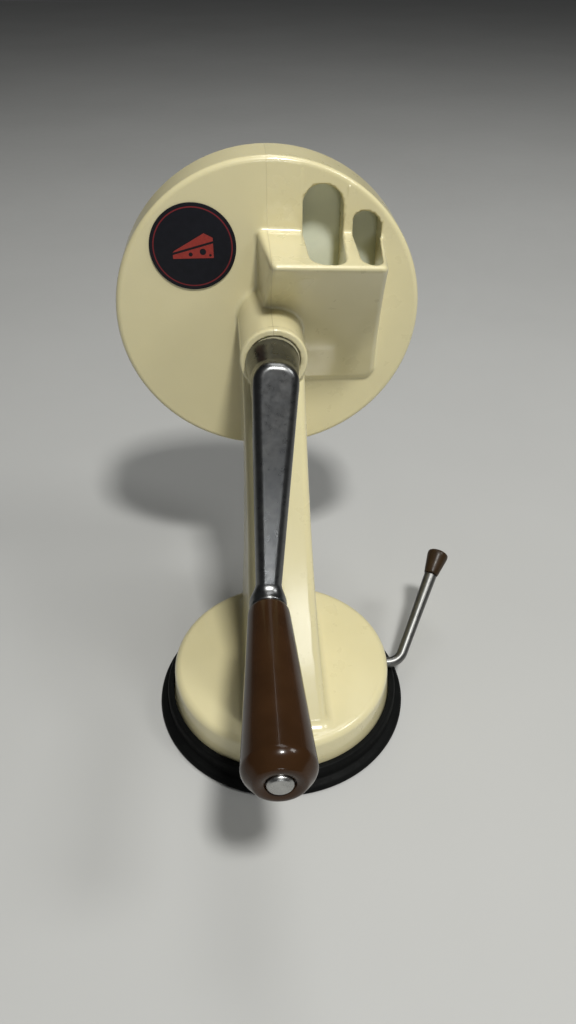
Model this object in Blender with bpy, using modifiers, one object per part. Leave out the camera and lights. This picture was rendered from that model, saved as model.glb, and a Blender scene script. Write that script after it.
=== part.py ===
"""A hand-cranked rotary cheese grater on a suction base.

World axes: +X to the user's right, +Y away from the user, +Z up. The origin is the middle of the
suction cup's foot, on the table. The crank shaft runs along Y, through the drum's middle.
"""

import math

import bmesh
import bpy
from mathutils import Matrix, Vector

MM = 0.001
GAP = 0.3 * MM  # running gap between neighbouring pieces

# Drum
SHAFT_Z = 177.64 * MM
FACE_Y = 88.3 * MM
RIM_Y = 112.7 * MM
DRUM_R = 75 * MM
WALL = 2.6 * MM
PLATE_BACK_Y = FACE_Y + WALL
BOSS_R = 14.2 * MM
BOSS_BACK_R = 15.2 * MM  # it widens towards the drum's face
BOSS_FRONT_Y = 40.3 * MM
COLLAR_R = 15.4 * MM
COLLAR_LENGTH = 4.2 * MM
BUSH_FLANGE_R = 11.7 * MM
BUSH_RECESS_R = 12.1 * MM
REAR_BOSS_R = 12 * MM
REAR_BOSS_Y = 97 * MM
BUSH_SEAT_R = 8.3 * MM

# Hopper: it stands on the drum's face, level on top. Its front slopes back to a knee, then to its foot
HOPPER_TOP_Z = 220.6 * MM
HOPPER_TOP_DROP = 3.6 * MM  # the right side of the top is this much lower
HOPPER_LEFT_X = -5.0 * MM
HOPPER_RIGHT_X = 54.4 * MM
HOPPER_FRONT_Y = 41.0 * MM
HOPPER_KNEE_Y = 71.0 * MM
HOPPER_KNEE_Z = 191.0 * MM
HOPPER_FOOT_Y = 86.4 * MM
HOPPER_FOOT_Z = 143.5 * MM
HOPPER_DRAFT = 4.6 * MM  # each side leans in by this much at the front
HOPPER_SLOPE = (HOPPER_KNEE_Y - HOPPER_FRONT_Y) / (HOPPER_TOP_Z - HOPPER_KNEE_Z)
HOPPER_LOWER_SLOPE = (HOPPER_FOOT_Y - HOPPER_KNEE_Y) / (HOPPER_KNEE_Z - HOPPER_FOOT_Z)
HOPPER_WALL_Y = 3.2 * MM  # the sloping wall's thickness along Y
CHUTE_FOOT_Z = 176 * MM
GUIDE_END_Y = 101.3 * MM
GUIDE_WALL = 2.0 * MM

# Each chute: left and right sides, top of its arch, radii of the arch's two corners, and both sides
# where it meets the hopper's front wall
BIG_CHUTE = {
    "left": 15.8,
    "right": 35.2,
    "top": 240.6,
    "radius_left": 9.0,
    "radius_right": 10.4,
    "front": (17.2, 32.6),
}
SMALL_CHUTE = {
    "left": 39.2,
    "right": 53.9,
    "top": 228.5,
    "radius_left": 5.0,
    "radius_right": 9.7,
    "front": (38.8, 49.2),
}

# Stand
BASE_TOP_Z = 26.56 * MM
BASE_R = 55.7 * MM
SKIRT_R = 57.0 * MM
SKIRT_FOOT_Z = 5.5 * MM
FIN_FRONT_Y = -46.0 * MM
FIN_BACK_Y = 45.0 * MM
FIN_TOP_Z = 166 * MM
FIN_HALF_TOP = 14.5 * MM
FIN_HALF_FOOT = 19.7 * MM
FIN_FLARE = 2.45  # the fin widens mostly near its foot
FIN_FRONT_TOP_Y = 41.9 * MM
DRUM_FOOT_Z = SHAFT_Z - DRUM_R
LEVER_Z = 18 * MM
LEVER_HOLE_R = 3.3 * MM
RIB_X = (21 * MM, 24 * MM)
RIB_HALF_Y = 9 * MM
RIB_FOOT_Z = 11.5 * MM

# Suction cup
CUP_R = 65 * MM
CUP_PAD_R = 12 * MM
CUP_LIP_Z = 11.6 * MM

# Suction lever
LEVER_ROD_R = 2.75 * MM
LEVER_TIP_R = 3.5 * MM  # the rod swells towards the knob
LEVER_TANG_R = 2.5 * MM  # its end inside the knob
LEVER_BEND_X = 63.4 * MM
LEVER_BEND_RADIUS = 9 * MM
LEVER_END_X = -29 * MM
LEVER_ARM = Vector((28.4, 50.6, 28.2)).normalized()
LEVER_ARM_LENGTH = 68.6 * MM
KNOB_LENGTH = 14.8 * MM
KNOB_BASE_R = 3.85 * MM
KNOB_TIP_R = 6.1 * MM
CAM_R = 6.5 * MM
CAM_THROW = 2.4 * MM
CAM_PHASE = math.radians(30)  # past its lowest point when the lever is at rest
CAM_Y = CAM_THROW * math.sin(CAM_PHASE)
CAM_Z = LEVER_Z - CAM_THROW * math.cos(CAM_PHASE)

# Crank
CRANK_ANGLE = math.radians(5.5)  # from hanging straight down, towards -X
CRANK_R = 77.5 * MM
SHAFT_R = 5 * MM
SHAFT_SQUARE = 7 * MM
THREAD_R = 3 * MM
HUB_R = 11.8 * MM
HUB_BACK_Y = 39.6 * MM
FERRULE_R = 8.15 * MM
FERRULE_END_Y = -39.5 * MM
GRIP_END_Y = -124.1 * MM
GRIP_BORE_R = 3.5 * MM
SOCKET_Y = -31 * MM  # how far the grip's spindle reaches into the arm
SPINDLE_R = 3.2 * MM

# Disc
DISC_R = 71 * MM
DISC_FRONT_Y = 102 * MM
DISC_BACK_Y = 104.6 * MM
WINDOW_R = (22 * MM, 63 * MM)
WINDOW_ANGLES = (math.radians(135), math.radians(315))
WINDOW_HALF_ANGLE = math.radians(36)


def clear_scene():
    for obj in list(bpy.data.objects):
        bpy.data.objects.remove(obj, do_unlink=True)


def new_collection(name):
    made = bpy.data.collections.new(name)
    bpy.context.scene.collection.children.link(made)
    return made


clear_scene()
PARTS = new_collection("rotary_cheese_grater")
CUTTERS = new_collection("cutters")


def material(name, colour, roughness, metallic=0.0):
    made = bpy.data.materials.new(name)
    made.use_nodes = True
    shader = made.node_tree.nodes["Principled BSDF"]
    shader.inputs["Base Color"].default_value = (*colour, 1)
    shader.inputs["Roughness"].default_value = roughness
    shader.inputs["Metallic"].default_value = metallic
    return made


CREAM = material("cream_plastic", (0.68, 0.62, 0.42), 0.35)
BLACK_RUBBER = material("black_rubber", (0.02, 0.02, 0.022), 0.6)
BROWN = material("brown_plastic", (0.085, 0.035, 0.02), 0.22)
WHITE = material("white_plastic", (0.72, 0.76, 0.62), 0.4)
STEEL = material("steel", (0.55, 0.55, 0.54), 0.3, 1.0)
ALUMINIUM = material("cast_aluminium", (0.52, 0.52, 0.53), 0.32, 1.0)
BUSH = material("bush_plastic", (0.62, 0.6, 0.52), 0.5)
LABEL = material("black_label", (0.012, 0.014, 0.02), 0.4)


def smooth(obj):
    obj.data.shade_smooth()
    obj.data.set_sharp_from_angle(angle=math.radians(35))


def add(name, mesh, finish):
    """A part when it has a finish, otherwise a cutter or a shape to be joined."""
    obj = bpy.data.objects.new(name, mesh)
    if finish:
        mesh.materials.append(finish)
        PARTS.objects.link(obj)
    else:
        CUTTERS.objects.link(obj)
        obj.hide_render = True
        obj.display_type = "WIRE"
    return obj


def mesh_from(name, build):
    """A mesh filled by build(bmesh), its faces turned outwards."""
    shape = bmesh.new()
    build(shape)
    bmesh.ops.recalc_face_normals(shape, faces=shape.faces)
    mesh = bpy.data.meshes.new(name)
    shape.to_mesh(mesh)
    shape.free()
    return mesh


def turned(name, profile, finish=None, steps=48, axis="Z", place=(0, 0, 0)):
    """A profile of (radius, height) points turned about an axis. It runs clockwise: down its outer side."""
    closed = profile[0][0] > 0 and profile[-1][0] > 0
    mesh = bpy.data.meshes.new(name)
    count = len(profile)
    edges = [(i, i + 1) for i in range(count - 1)]
    if closed:
        edges.append((count - 1, 0))
    mesh.from_pydata([(r, 0, h) for r, h in profile], edges, [])
    obj = add(name, mesh, finish)
    obj.location = place
    turns = {"Z": (0, 0, 0), "Y": (-math.pi / 2, 0, 0), "X": (0, math.pi / 2, 0)}
    obj.rotation_euler = turns[axis]
    screw = obj.modifiers.new("turn", "SCREW")
    screw.steps = steps
    screw.render_steps = steps
    screw.use_merge_vertices = True
    screw.merge_threshold = 0.00001
    weld = obj.modifiers.new("weld", "WELD")
    weld.merge_threshold = 0.00001
    return obj


def prism(name, outline, front, back, finish=None):
    """A flat outline of (x, z) points, carried along Y from front to back."""

    def build(shape):
        face = shape.faces.new([shape.verts.new((x, front, z)) for x, z in outline])
        moved = bmesh.ops.extrude_face_region(shape, geom=[face])["geom"]
        verts = [v for v in moved if isinstance(v, bmesh.types.BMVert)]
        bmesh.ops.translate(shape, verts=verts, vec=(0, back - front, 0))

    return add(name, mesh_from(name, build), finish)


def box(name, low, high, finish=None):
    outline = [(low[0], low[2]), (high[0], low[2]), (high[0], high[2]), (low[0], high[2])]
    return prism(name, outline, low[1], high[1], finish)


def lofted(name, rings, finish=None):
    """A skin over rings of points, with both ends capped."""

    def build(shape):
        made = [[shape.verts.new(p) for p in ring] for ring in rings]
        count = len(made[0])
        for before, after in zip(made, made[1:]):
            for i in range(count):
                j = (i + 1) % count
                shape.faces.new((before[i], before[j], after[j], after[i]))
        shape.faces.new(made[0])
        shape.faces.new(made[-1])

    return add(name, mesh_from(name, build), finish)


def boolean(target, tool, operation):
    change = target.modifiers.new(operation.lower(), "BOOLEAN")
    change.object = tool
    change.operation = operation
    change.solver = "EXACT"


def cut(target, *tools):
    for tool in tools:
        boolean(target, tool, "DIFFERENCE")


def join(target, *tools):
    for tool in tools:
        boolean(target, tool, "UNION")


def arc(centre, radius, start, end, count):
    """Points on an arc, angles in degrees."""
    steps = [math.radians(start + (end - start) * i / count) for i in range(count + 1)]
    return [(centre[0] + radius * math.cos(a), centre[1] + radius * math.sin(a)) for a in steps]


def fillet(corner_r, corner_h, radius, start, end, count=4):
    """An arc in a turned profile, about the point (corner_r, corner_h)."""
    return arc((corner_r, corner_h), radius, start, end, count)


# ---------------------------------------------------------------- body moulding


def arch(chute, grow, foot_z):
    """A chute's outline on the drum's face: straight sides under an arch of two unlike corners."""
    left = chute["left"] * MM - grow
    right = chute["right"] * MM + grow
    top = chute["top"] * MM + grow
    r_left = chute["radius_left"] * MM + grow
    r_right = chute["radius_right"] * MM + grow
    outline = [(right, foot_z)]
    outline += arc((right - r_right, top - r_right), r_right, 0, 90, 6)
    outline += arc((left + r_left, top - r_left), r_left, 90, 180, 6)
    outline.append((left, foot_z))
    return outline


def slope_y(z, depth=0.0):
    """Where the hopper's upper front is at height z, or a surface this far behind it."""
    return HOPPER_FRONT_Y + depth + (HOPPER_TOP_Z - z) * HOPPER_SLOPE


def lower_y(z, depth=0.0):
    """The same below the knee, where its front is nearly upright."""
    return HOPPER_FOOT_Y + depth - (z - HOPPER_FOOT_Z) * HOPPER_LOWER_SLOPE


def hopper_points(left, right, back_y, top_z, foot_z, depth=0.0, drop=0.0, draft=0.0):
    """The hopper's outline at its left and right side, with its front moved back by depth."""
    rings = []
    for side, lean, fall in ((left, draft, 0.0), (right, -draft, drop)):
        front = [
            (lower_y(foot_z, depth), foot_z),
            (HOPPER_KNEE_Y + depth, HOPPER_KNEE_Z),
            (slope_y(top_z, depth), top_z - fall),
        ]
        ring = [(side, back_y, foot_z)]
        for y, z in front:
            share = (FACE_Y - y) / (FACE_Y - HOPPER_FRONT_Y)
            ring.append((side + lean * share, y, z))
        ring.append((side, back_y, top_z - fall))
        rings.append(ring)
    return rings


def chute_cutter(name, chute):
    """The straight bore through the plate, and the slanting channel that opens the hopper's top."""
    bore = prism(name + "_bore", arch(chute, 0, CHUTE_FOOT_Z), FACE_Y - 0.6 * MM, GUIDE_END_Y + 5 * MM)
    top_z = HOPPER_TOP_Z + 6 * MM
    front_left, front_right = (x * MM for x in chute["front"])
    left = chute["left"] * MM
    right = chute["right"] * MM
    mouth_y = HOPPER_FRONT_Y + HOPPER_WALL_Y + 1.2 * MM
    radius_left, radius_right = 6 * MM, 4 * MM
    plan = arc((front_left + radius_left, mouth_y + radius_left), radius_left, 180, 270, 4)
    plan += arc((front_right - radius_right, mouth_y + radius_right), radius_right, 270, 360, 4)
    near, far = FACE_Y - 2 * MM, FACE_Y + 4 * MM
    plan += [(right, near), (right, far), (left, far), (left, near)]

    def ring(z):
        return [(x, y + slope_y(z) - HOPPER_FRONT_Y, z) for x, y in plan]

    channel = lofted(name + "_channel", [ring(CHUTE_FOOT_Z), ring(top_z)])
    return bore, channel


def drum_shell():
    outer = [(DRUM_R, RIM_Y)]
    outer += fillet(DRUM_R - 2.5 * MM, FACE_Y + 2.5 * MM, 2.5 * MM, 0, -90)
    boss = [(BOSS_BACK_R + 1.5 * MM, FACE_Y), (BOSS_BACK_R, FACE_Y - 1.5 * MM)]
    boss += [(BOSS_R, BOSS_FRONT_Y + COLLAR_LENGTH), (COLLAR_R, BOSS_FRONT_Y + COLLAR_LENGTH - 1 * MM)]
    boss += [(COLLAR_R, BOSS_FRONT_Y + 0.8 * MM), (COLLAR_R - 0.8 * MM, BOSS_FRONT_Y)]
    boss += [(BUSH_RECESS_R, BOSS_FRONT_Y), (BUSH_RECESS_R, BOSS_FRONT_Y + 2.2 * MM)]
    boss += [(BUSH_SEAT_R, BOSS_FRONT_Y + 2.2 * MM), (BUSH_SEAT_R, REAR_BOSS_Y)]
    inside = [(REAR_BOSS_R, REAR_BOSS_Y), (REAR_BOSS_R, PLATE_BACK_Y)]
    inside += [(DRUM_R - WALL, PLATE_BACK_Y), (DRUM_R - WALL, RIM_Y)]
    return turned("drum_housing", outer + boss + inside, CREAM, 72, "Y", (0, 0, SHAFT_Z))


def hopper_block():
    outline = hopper_points(
        HOPPER_LEFT_X,
        HOPPER_RIGHT_X,
        FACE_Y + 2.2 * MM,
        HOPPER_TOP_Z,
        HOPPER_FOOT_Z,
        drop=HOPPER_TOP_DROP,
        draft=HOPPER_DRAFT,
    )
    block = lofted("hopper_block", outline)
    rounding = block.modifiers.new("rounding", "BEVEL")
    rounding.width = 1.9 * MM
    rounding.segments = 3
    rounding.limit_method = "ANGLE"
    rounding.angle_limit = math.radians(30)
    return block


def shaft_bore():
    """Clears the hopper's block out of the bush seat."""
    back, front = REAR_BOSS_Y + 3 * MM, 35 * MM
    profile = [(0, back), (BUSH_SEAT_R, back), (BUSH_SEAT_R, front), (0, front)]
    return turned("shaft_bore", profile, None, 72, "Y", (0, 0, SHAFT_Z))


def hopper_relief():
    """The pocket behind the hopper's upper left part, as moulded: open to the drum."""
    left, right = -1.6 * MM, 13.2 * MM
    foot_z, top_z = 201 * MM, 216.5 * MM
    back_y = FACE_Y + 6 * MM
    rings = [
        [
            (side, back_y, foot_z),
            (side + lean, slope_y(foot_z, HOPPER_WALL_Y), foot_z),
            (side + lean, slope_y(top_z, HOPPER_WALL_Y), top_z),
            (side, back_y, top_z),
        ]
        for side, lean in ((left, 1.5 * MM), (right, 0.0))
    ]
    return lofted("hopper_relief", rings)


def foot_relief():
    """The pocket behind the hopper's lower part, right of the boss."""
    left, right = 19.5 * MM, 50.5 * MM
    foot_z, top_z = 148 * MM, CHUTE_FOOT_Z - 2.4 * MM
    back_y = FACE_Y + 6 * MM
    depth = HOPPER_WALL_Y
    rings = [
        [
            (side, back_y, foot_z),
            (side, lower_y(foot_z, depth), foot_z),
            (side, lower_y(top_z, depth), top_z),
            (side, back_y, top_z),
        ]
        for side in (left, right)
    ]
    return lofted("foot_relief", rings)


def build_drum_housing():
    housing = drum_shell()
    guide_foot = CHUTE_FOOT_Z - GUIDE_WALL
    big_guide = prism("big_guide", arch(BIG_CHUTE, GUIDE_WALL, guide_foot), FACE_Y + 1 * MM, GUIDE_END_Y)
    small_guide = prism(
        "small_guide", arch(SMALL_CHUTE, GUIDE_WALL, guide_foot), FACE_Y + 1 * MM, GUIDE_END_Y
    )
    join(housing, hopper_block(), big_guide, small_guide)
    cut(housing, shaft_bore(), hopper_relief(), foot_relief())
    cut(housing, *chute_cutter("big_chute", BIG_CHUTE))
    cut(housing, *chute_cutter("small_chute", SMALL_CHUTE))
    smooth(housing)


def fin_half(z):
    rest = min(1.0, (FIN_TOP_Z - z) / (FIN_TOP_Z - BASE_TOP_Z))
    return FIN_HALF_TOP + (FIN_HALF_FOOT - FIN_HALF_TOP) * rest**FIN_FLARE


def fin_front(z):
    share = (z - BASE_TOP_Z) / (FIN_TOP_Z - BASE_TOP_Z)
    return FIN_FRONT_Y + (FIN_FRONT_TOP_Y - FIN_FRONT_Y) * share


def fin_back(z):
    share = (z - BASE_TOP_Z) / (DRUM_FOOT_Z - BASE_TOP_Z)
    return min(FACE_Y - GAP, FIN_BACK_Y + (FACE_Y - FIN_BACK_Y) * share)


def fin_ring(z, inset, corner):
    """The fin's section at height z: a rectangle with rounded corners, smaller by inset all round."""
    half = fin_half(z) - inset
    front = fin_front(z) + inset * 1.2
    back = fin_back(z) - inset * 1.2
    ring = arc((half - corner, front + corner), corner, 270, 360, 3)
    ring += arc((half - corner, back - corner), corner, 0, 90, 3)
    ring += arc((-half + corner, back - corner), corner, 90, 180, 3)
    ring += arc((-half + corner, front + corner), corner, 180, 270, 3)
    return [(x, y, z) for x, y in ring]


def build_stand():
    top_in = BASE_TOP_Z - WALL
    profile = [(0, BASE_TOP_Z)]
    profile += fillet(BASE_R - 3.5 * MM, BASE_TOP_Z - 3.5 * MM, 3.5 * MM, 90, 0)
    profile += [(SKIRT_R, 8.2 * MM), (SKIRT_R + 1.2 * MM, 7.4 * MM), (SKIRT_R + 1.2 * MM, SKIRT_FOOT_Z)]
    profile += [(SKIRT_R - WALL, SKIRT_FOOT_Z), (BASE_R - WALL, top_in), (0, top_in)]
    stand = turned("stand", profile, CREAM, 72)
    heights = (BASE_TOP_Z - 1.5 * MM, 34 * MM, 44 * MM, 58 * MM, 76 * MM, DRUM_FOOT_Z, FIN_TOP_Z)
    fin = lofted("fin", [fin_ring(z, 0, 2.5 * MM) for z in heights])
    hollow_heights = (BASE_TOP_Z - 5 * MM, *heights[1:-1], 156 * MM)
    hollow = lofted("fin_hollow", [fin_ring(z, WALL, 1 * MM) for z in hollow_heights])
    join(stand, fin)
    cut(stand, hollow)
    for side in (-1, 1):
        low, high = sorted((side * RIB_X[0], side * RIB_X[1]))
        name = "rib_left" if side < 0 else "rib_right"
        rib = box(name, (low, -RIB_HALF_Y, RIB_FOOT_Z), (high, RIB_HALF_Y, BASE_TOP_Z - 1 * MM))
        join(stand, rib)
    hole = [(0, 70 * MM), (LEVER_HOLE_R, 70 * MM), (LEVER_HOLE_R, -40 * MM), (0, -40 * MM)]
    cut(stand, turned("lever_hole", hole, None, 24, "X", (0, 0, LEVER_Z)))
    fillet_r = BOSS_BACK_R + 1.8 * MM
    clearance = [(0, 95 * MM), (fillet_r, 95 * MM), (fillet_r, FACE_Y - 1.8 * MM)]
    clearance += [(BOSS_BACK_R + GAP, FACE_Y - 1.8 * MM), (BOSS_R + GAP, BOSS_FRONT_Y + COLLAR_LENGTH + GAP)]
    clearance += [(COLLAR_R + GAP, BOSS_FRONT_Y + COLLAR_LENGTH), (COLLAR_R + GAP, 30 * MM), (0, 30 * MM)]
    cut(stand, turned("boss_clearance", clearance, None, 72, "Y", (0, 0, SHAFT_Z)))
    hopper_clearance = lofted(
        "hopper_clearance",
        hopper_points(
            HOPPER_LEFT_X - GAP,
            HOPPER_RIGHT_X,
            FACE_Y + 4 * MM,
            HOPPER_TOP_Z,
            HOPPER_FOOT_Z - GAP,
            depth=-0.6 * MM,
        ),
    )
    cut(stand, hopper_clearance)
    smooth(stand)


def build_badge():
    front = FACE_Y - GAP - 0.4 * MM
    profile = [(0, FACE_Y - GAP), (20.3 * MM, FACE_Y - GAP), (20.3 * MM, front), (0, front)]
    smooth(turned("badge", profile, LABEL, 48, "Y", (-35.0 * MM, 0, 213.5 * MM)))


# ---------------------------------------------------------------- shaft, crank and grip


def ring_profile(outer, inner, low, high):
    return [(outer, high), (outer, low), (inner, low), (inner, high)]


def build_bushes():
    bore = SHAFT_R + GAP
    body = BUSH_SEAT_R - GAP
    flange_front = BOSS_FRONT_Y + 0.5 * MM
    flange_back = flange_front + 1.4 * MM
    profile = [(body, 60 * MM), (body, flange_back), (BUSH_FLANGE_R, flange_back)]
    profile += [(BUSH_FLANGE_R, flange_front), (bore, flange_front), (bore, 60 * MM)]
    smooth(turned("front_bush", profile, BUSH, 32, "Y", (0, 0, SHAFT_Z)))
    rear = ring_profile(body, bore, 78 * MM, REAR_BOSS_Y)
    smooth(turned("rear_bush", rear, BUSH, 32, "Y", (0, 0, SHAFT_Z)))


def build_shaft():
    square_y = 98.9 * MM
    thread_y = 107.6 * MM
    profile = [(0, 115.2 * MM), (THREAD_R - 0.5 * MM, 115.2 * MM), (THREAD_R, 114.7 * MM)]
    profile += [(THREAD_R, thread_y), (THREAD_R, square_y), (SHAFT_R, square_y)]
    profile += [(SHAFT_R, 27 * MM), (0, 27 * MM)]
    shaft = turned("drive_shaft", profile, STEEL, 32, "Y", (0, 0, SHAFT_Z))
    half = SHAFT_SQUARE / 2
    square = box("shaft_square", (-half, square_y - 1 * MM, -half), (half, thread_y, half))
    square.matrix_world = Matrix.Translation((0, 0, SHAFT_Z)) @ Matrix.Rotation(CRANK_ANGLE, 4, "Y")
    join(shaft, square)
    smooth(shaft)
    washer = ring_profile(9 * MM, SHAFT_R + GAP, HUB_BACK_Y + GAP, BOSS_FRONT_Y + 0.2 * MM)
    smooth(turned("thrust_washer", washer, STEEL, 32, "Y", (0, 0, SHAFT_Z)))
    clip = ring_profile(8.6 * MM, SHAFT_R + GAP, REAR_BOSS_Y + GAP, REAR_BOSS_Y + 1.3 * MM)
    smooth(turned("shaft_circlip", clip, STEEL, 32, "Y", (0, 0, SHAFT_Z)))


def arm_ring(y, drop, tilt, half_width, half_depth, count=20):
    """An oval section of the arm, its middle at y and at drop below the shaft, tilted about X."""
    ring = []
    for i in range(count):
        a = 2 * math.pi * i / count
        across = half_width * math.copysign(abs(math.cos(a)) ** 0.85, math.cos(a))
        deep = half_depth * math.copysign(abs(math.sin(a)) ** 0.85, math.sin(a))
        ring.append((across, y - deep * math.sin(tilt), -drop + deep * math.cos(tilt)))
    return ring


def crank_place(obj):
    """Hangs a piece built about the shaft's axis at the crank's angle."""
    obj.matrix_world = Matrix.Translation((0, 0, SHAFT_Z)) @ Matrix.Rotation(CRANK_ANGLE, 4, "Y")


def build_crank_arm():
    hub_front = 27 * MM
    # y, drop below the shaft, tilt in degrees from facing the user, half width, half depth
    sections = (
        (HUB_BACK_Y, 0, 0, HUB_R, HUB_R),
        (hub_front, 0, 0, HUB_R, HUB_R),
        (21.0 * MM, 0.6 * MM, 12, 11.8 * MM, 11.4 * MM),
        (17.5 * MM, 3.4 * MM, 34, 11.3 * MM, 10.3 * MM),
        (13.0 * MM, 10.0 * MM, 54, 10.2 * MM, 8.2 * MM),
        (5.5 * MM, 21.0 * MM, 58, 9.5 * MM, 6.6 * MM),
        (-12.0 * MM, 46.5 * MM, 57, 7.5 * MM, 5.5 * MM),
        (-22.5 * MM, 61.5 * MM, 56, 6.2 * MM, 5.2 * MM),
        (-27.5 * MM, 68.0 * MM, 50, 6.1 * MM, 5.6 * MM),
        (-31.0 * MM, 74.0 * MM, 28, 7.0 * MM, 7.0 * MM),
        (-34.0 * MM, CRANK_R, 0, FERRULE_R, FERRULE_R),
        (FERRULE_END_Y + 1 * MM, CRANK_R, 0, FERRULE_R, FERRULE_R),
        (FERRULE_END_Y, CRANK_R, 0, FERRULE_R - 1 * MM, FERRULE_R - 1 * MM),
    )
    rings = [arm_ring(y, drop, math.radians(t), w, d) for y, drop, t, w, d in sections]
    arm = lofted("crank_arm", rings, ALUMINIUM)
    crank_place(arm)
    bore = [(0, 45 * MM), (SHAFT_R + GAP, 45 * MM), (SHAFT_R + GAP, 26.6 * MM), (0, 26.6 * MM)]
    socket = [(0, SOCKET_Y), (GRIP_BORE_R, SOCKET_Y), (GRIP_BORE_R, FERRULE_END_Y - 5 * MM)]
    socket.append((0, FERRULE_END_Y - 5 * MM))
    hub_bore = turned("hub_bore", bore, None, 32, "Y", (0, 0, SHAFT_Z))
    spindle_socket = turned("spindle_socket", socket, None, 24, "Y", grip_axis())
    cut(arm, hub_bore, spindle_socket)
    smooth(arm)


def grip_axis():
    return (-CRANK_R * math.sin(CRANK_ANGLE), 0, SHAFT_Z - CRANK_R * math.cos(CRANK_ANGLE))


def build_grip():
    start = FERRULE_END_Y - 0.4 * MM
    chamfer_y = GRIP_END_Y + 6.5 * MM
    profile = [(GRIP_BORE_R, start), (7.4 * MM, start), (8.6 * MM, start - 1.2 * MM)]
    profile += [(9.1 * MM, start - 3 * MM), (13.75 * MM, chamfer_y + 3 * MM)]
    profile += [(14.0 * MM, chamfer_y), (13.0 * MM, chamfer_y - 2 * MM)]
    profile += [(9.4 * MM, GRIP_END_Y), (5.6 * MM, GRIP_END_Y), (5.6 * MM, GRIP_END_Y + 2.2 * MM)]
    profile += [(GRIP_BORE_R, GRIP_END_Y + 2.2 * MM)]
    smooth(turned("handle_grip", profile, BROWN, 40, "Y", grip_axis()))
    head_back = GRIP_END_Y + 1.9 * MM
    head_front = GRIP_END_Y - 0.4 * MM
    spindle = [(0, SOCKET_Y - GAP), (SPINDLE_R, SOCKET_Y - GAP), (SPINDLE_R, head_back)]
    spindle += [(5.2 * MM, head_back), (5.2 * MM, head_front + 0.7 * MM)]
    spindle += [(4.4 * MM, head_front), (0, head_front - 0.2 * MM)]
    smooth(turned("grip_spindle", spindle, STEEL, 32, "Y", grip_axis()))


# ---------------------------------------------------------------- grating disc


def sector(name, middle, half_angle, r_low, r_high, low_y, high_y, finish=None, count=10):
    """A ring sector in the disc's plane, about the shaft's axis."""
    start = math.degrees(middle - half_angle)
    end = math.degrees(middle + half_angle)
    outline = arc((0, 0), r_high, start, end, count) + arc((0, 0), r_low, end, start, count)
    made = prism(name, outline, low_y, high_y, finish)
    made.location = (0, 0, SHAFT_Z)
    return made


def build_disc():
    bore_half = SHAFT_SQUARE / 2 + GAP
    profile = [(9 * MM, 107.2 * MM), (9 * MM, DISC_BACK_Y), (68 * MM, DISC_BACK_Y), (68 * MM, 106.2 * MM)]
    profile = [(0, 107.2 * MM)] + profile
    profile += [(DISC_R, 106.2 * MM), (DISC_R, DISC_FRONT_Y), (9 * MM, DISC_FRONT_Y), (9 * MM, 99.4 * MM)]
    profile += [(0, 99.4 * MM)]
    disc = turned("disc_carrier", profile, WHITE, 72, "Y", (0, 0, SHAFT_Z))
    bore = box("disc_bore", (-bore_half, 95 * MM, -bore_half), (bore_half, 110 * MM, bore_half))
    bore.matrix_world = Matrix.Translation((0, 0, SHAFT_Z)) @ Matrix.Rotation(CRANK_ANGLE, 4, "Y")
    cut(disc, bore)
    for i, angle in enumerate(WINDOW_ANGLES):
        name = f"disc_window_{i + 1}"
        cut(disc, sector(name, angle, WINDOW_HALF_ANGLE, *WINDOW_R, 100 * MM, 108 * MM))
    smooth(disc)
    for i, angle in enumerate(WINDOW_ANGLES):
        build_insert(f"grating_insert_{i + 1}", angle)


def build_insert(name, angle):
    """A steel plate in one of the disc's windows, with rings of round grating holes."""
    gap_angle = GAP / WINDOW_R[0]
    inner = WINDOW_R[0] + GAP
    outer = WINDOW_R[1] - GAP
    plate = sector(name, angle, WINDOW_HALF_ANGLE - gap_angle, inner, outer, 102.6 * MM, 103.8 * MM, STEEL)
    for row in range(5):
        radius = (27.5 + 7.6 * row) * MM
        holes = 4 + row
        for k in range(holes):
            turn = angle + WINDOW_HALF_ANGLE * 0.84 * (2 * k / (holes - 1) - 1)
            middle = (radius * math.cos(turn), radius * math.sin(turn))
            outline = arc(middle, 1.9 * MM, 0, 300, 5)
            tool = prism(f"{name}_hole_{row}_{k}", outline, 101 * MM, 105 * MM)
            tool.location = (0, 0, SHAFT_Z)
            cut(plate, tool)


def build_clamp_nut():
    bore = THREAD_R + GAP
    front = 107.9 * MM
    profile = [(0, 117.6 * MM), (10.8 * MM, 117.6 * MM), (12.4 * MM, 116.2 * MM), (12.4 * MM, 111 * MM)]
    profile += [(8 * MM, front), (bore, front), (bore, 115.6 * MM), (0, 115.6 * MM)]
    nut = turned("clamp_nut", profile, BROWN, 48, "Y", (0, 0, SHAFT_Z))
    smooth(nut)


# ---------------------------------------------------------------- suction base


def build_suction_cup():
    lip_in = SKIRT_R + 0.35 * MM
    seat_z = SKIRT_FOOT_Z - 0.4 * MM
    profile = [(0, 3.4 * MM), (46 * MM, 3.4 * MM), (50 * MM, seat_z), (SKIRT_R + 1.6 * MM, seat_z)]
    profile += [(SKIRT_R + 1.6 * MM, 7.7 * MM), (lip_in, 8.6 * MM), (lip_in, CUP_LIP_Z)]
    profile += [(60.0 * MM, CUP_LIP_Z), (60.6 * MM, CUP_LIP_Z - 0.7 * MM), (60.9 * MM, 4.4 * MM)]
    profile += [(63.6 * MM, 3.2 * MM), (CUP_R, 2.2 * MM), (CUP_R, 0.6 * MM), (CUP_R - 0.6 * MM, 0)]
    profile += [(52 * MM, 0), (48 * MM, 1.1 * MM), (CUP_PAD_R + 3 * MM, 1.1 * MM), (CUP_PAD_R, 0), (0, 0)]
    smooth(turned("suction_cup", profile, BLACK_RUBBER, 72))


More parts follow.
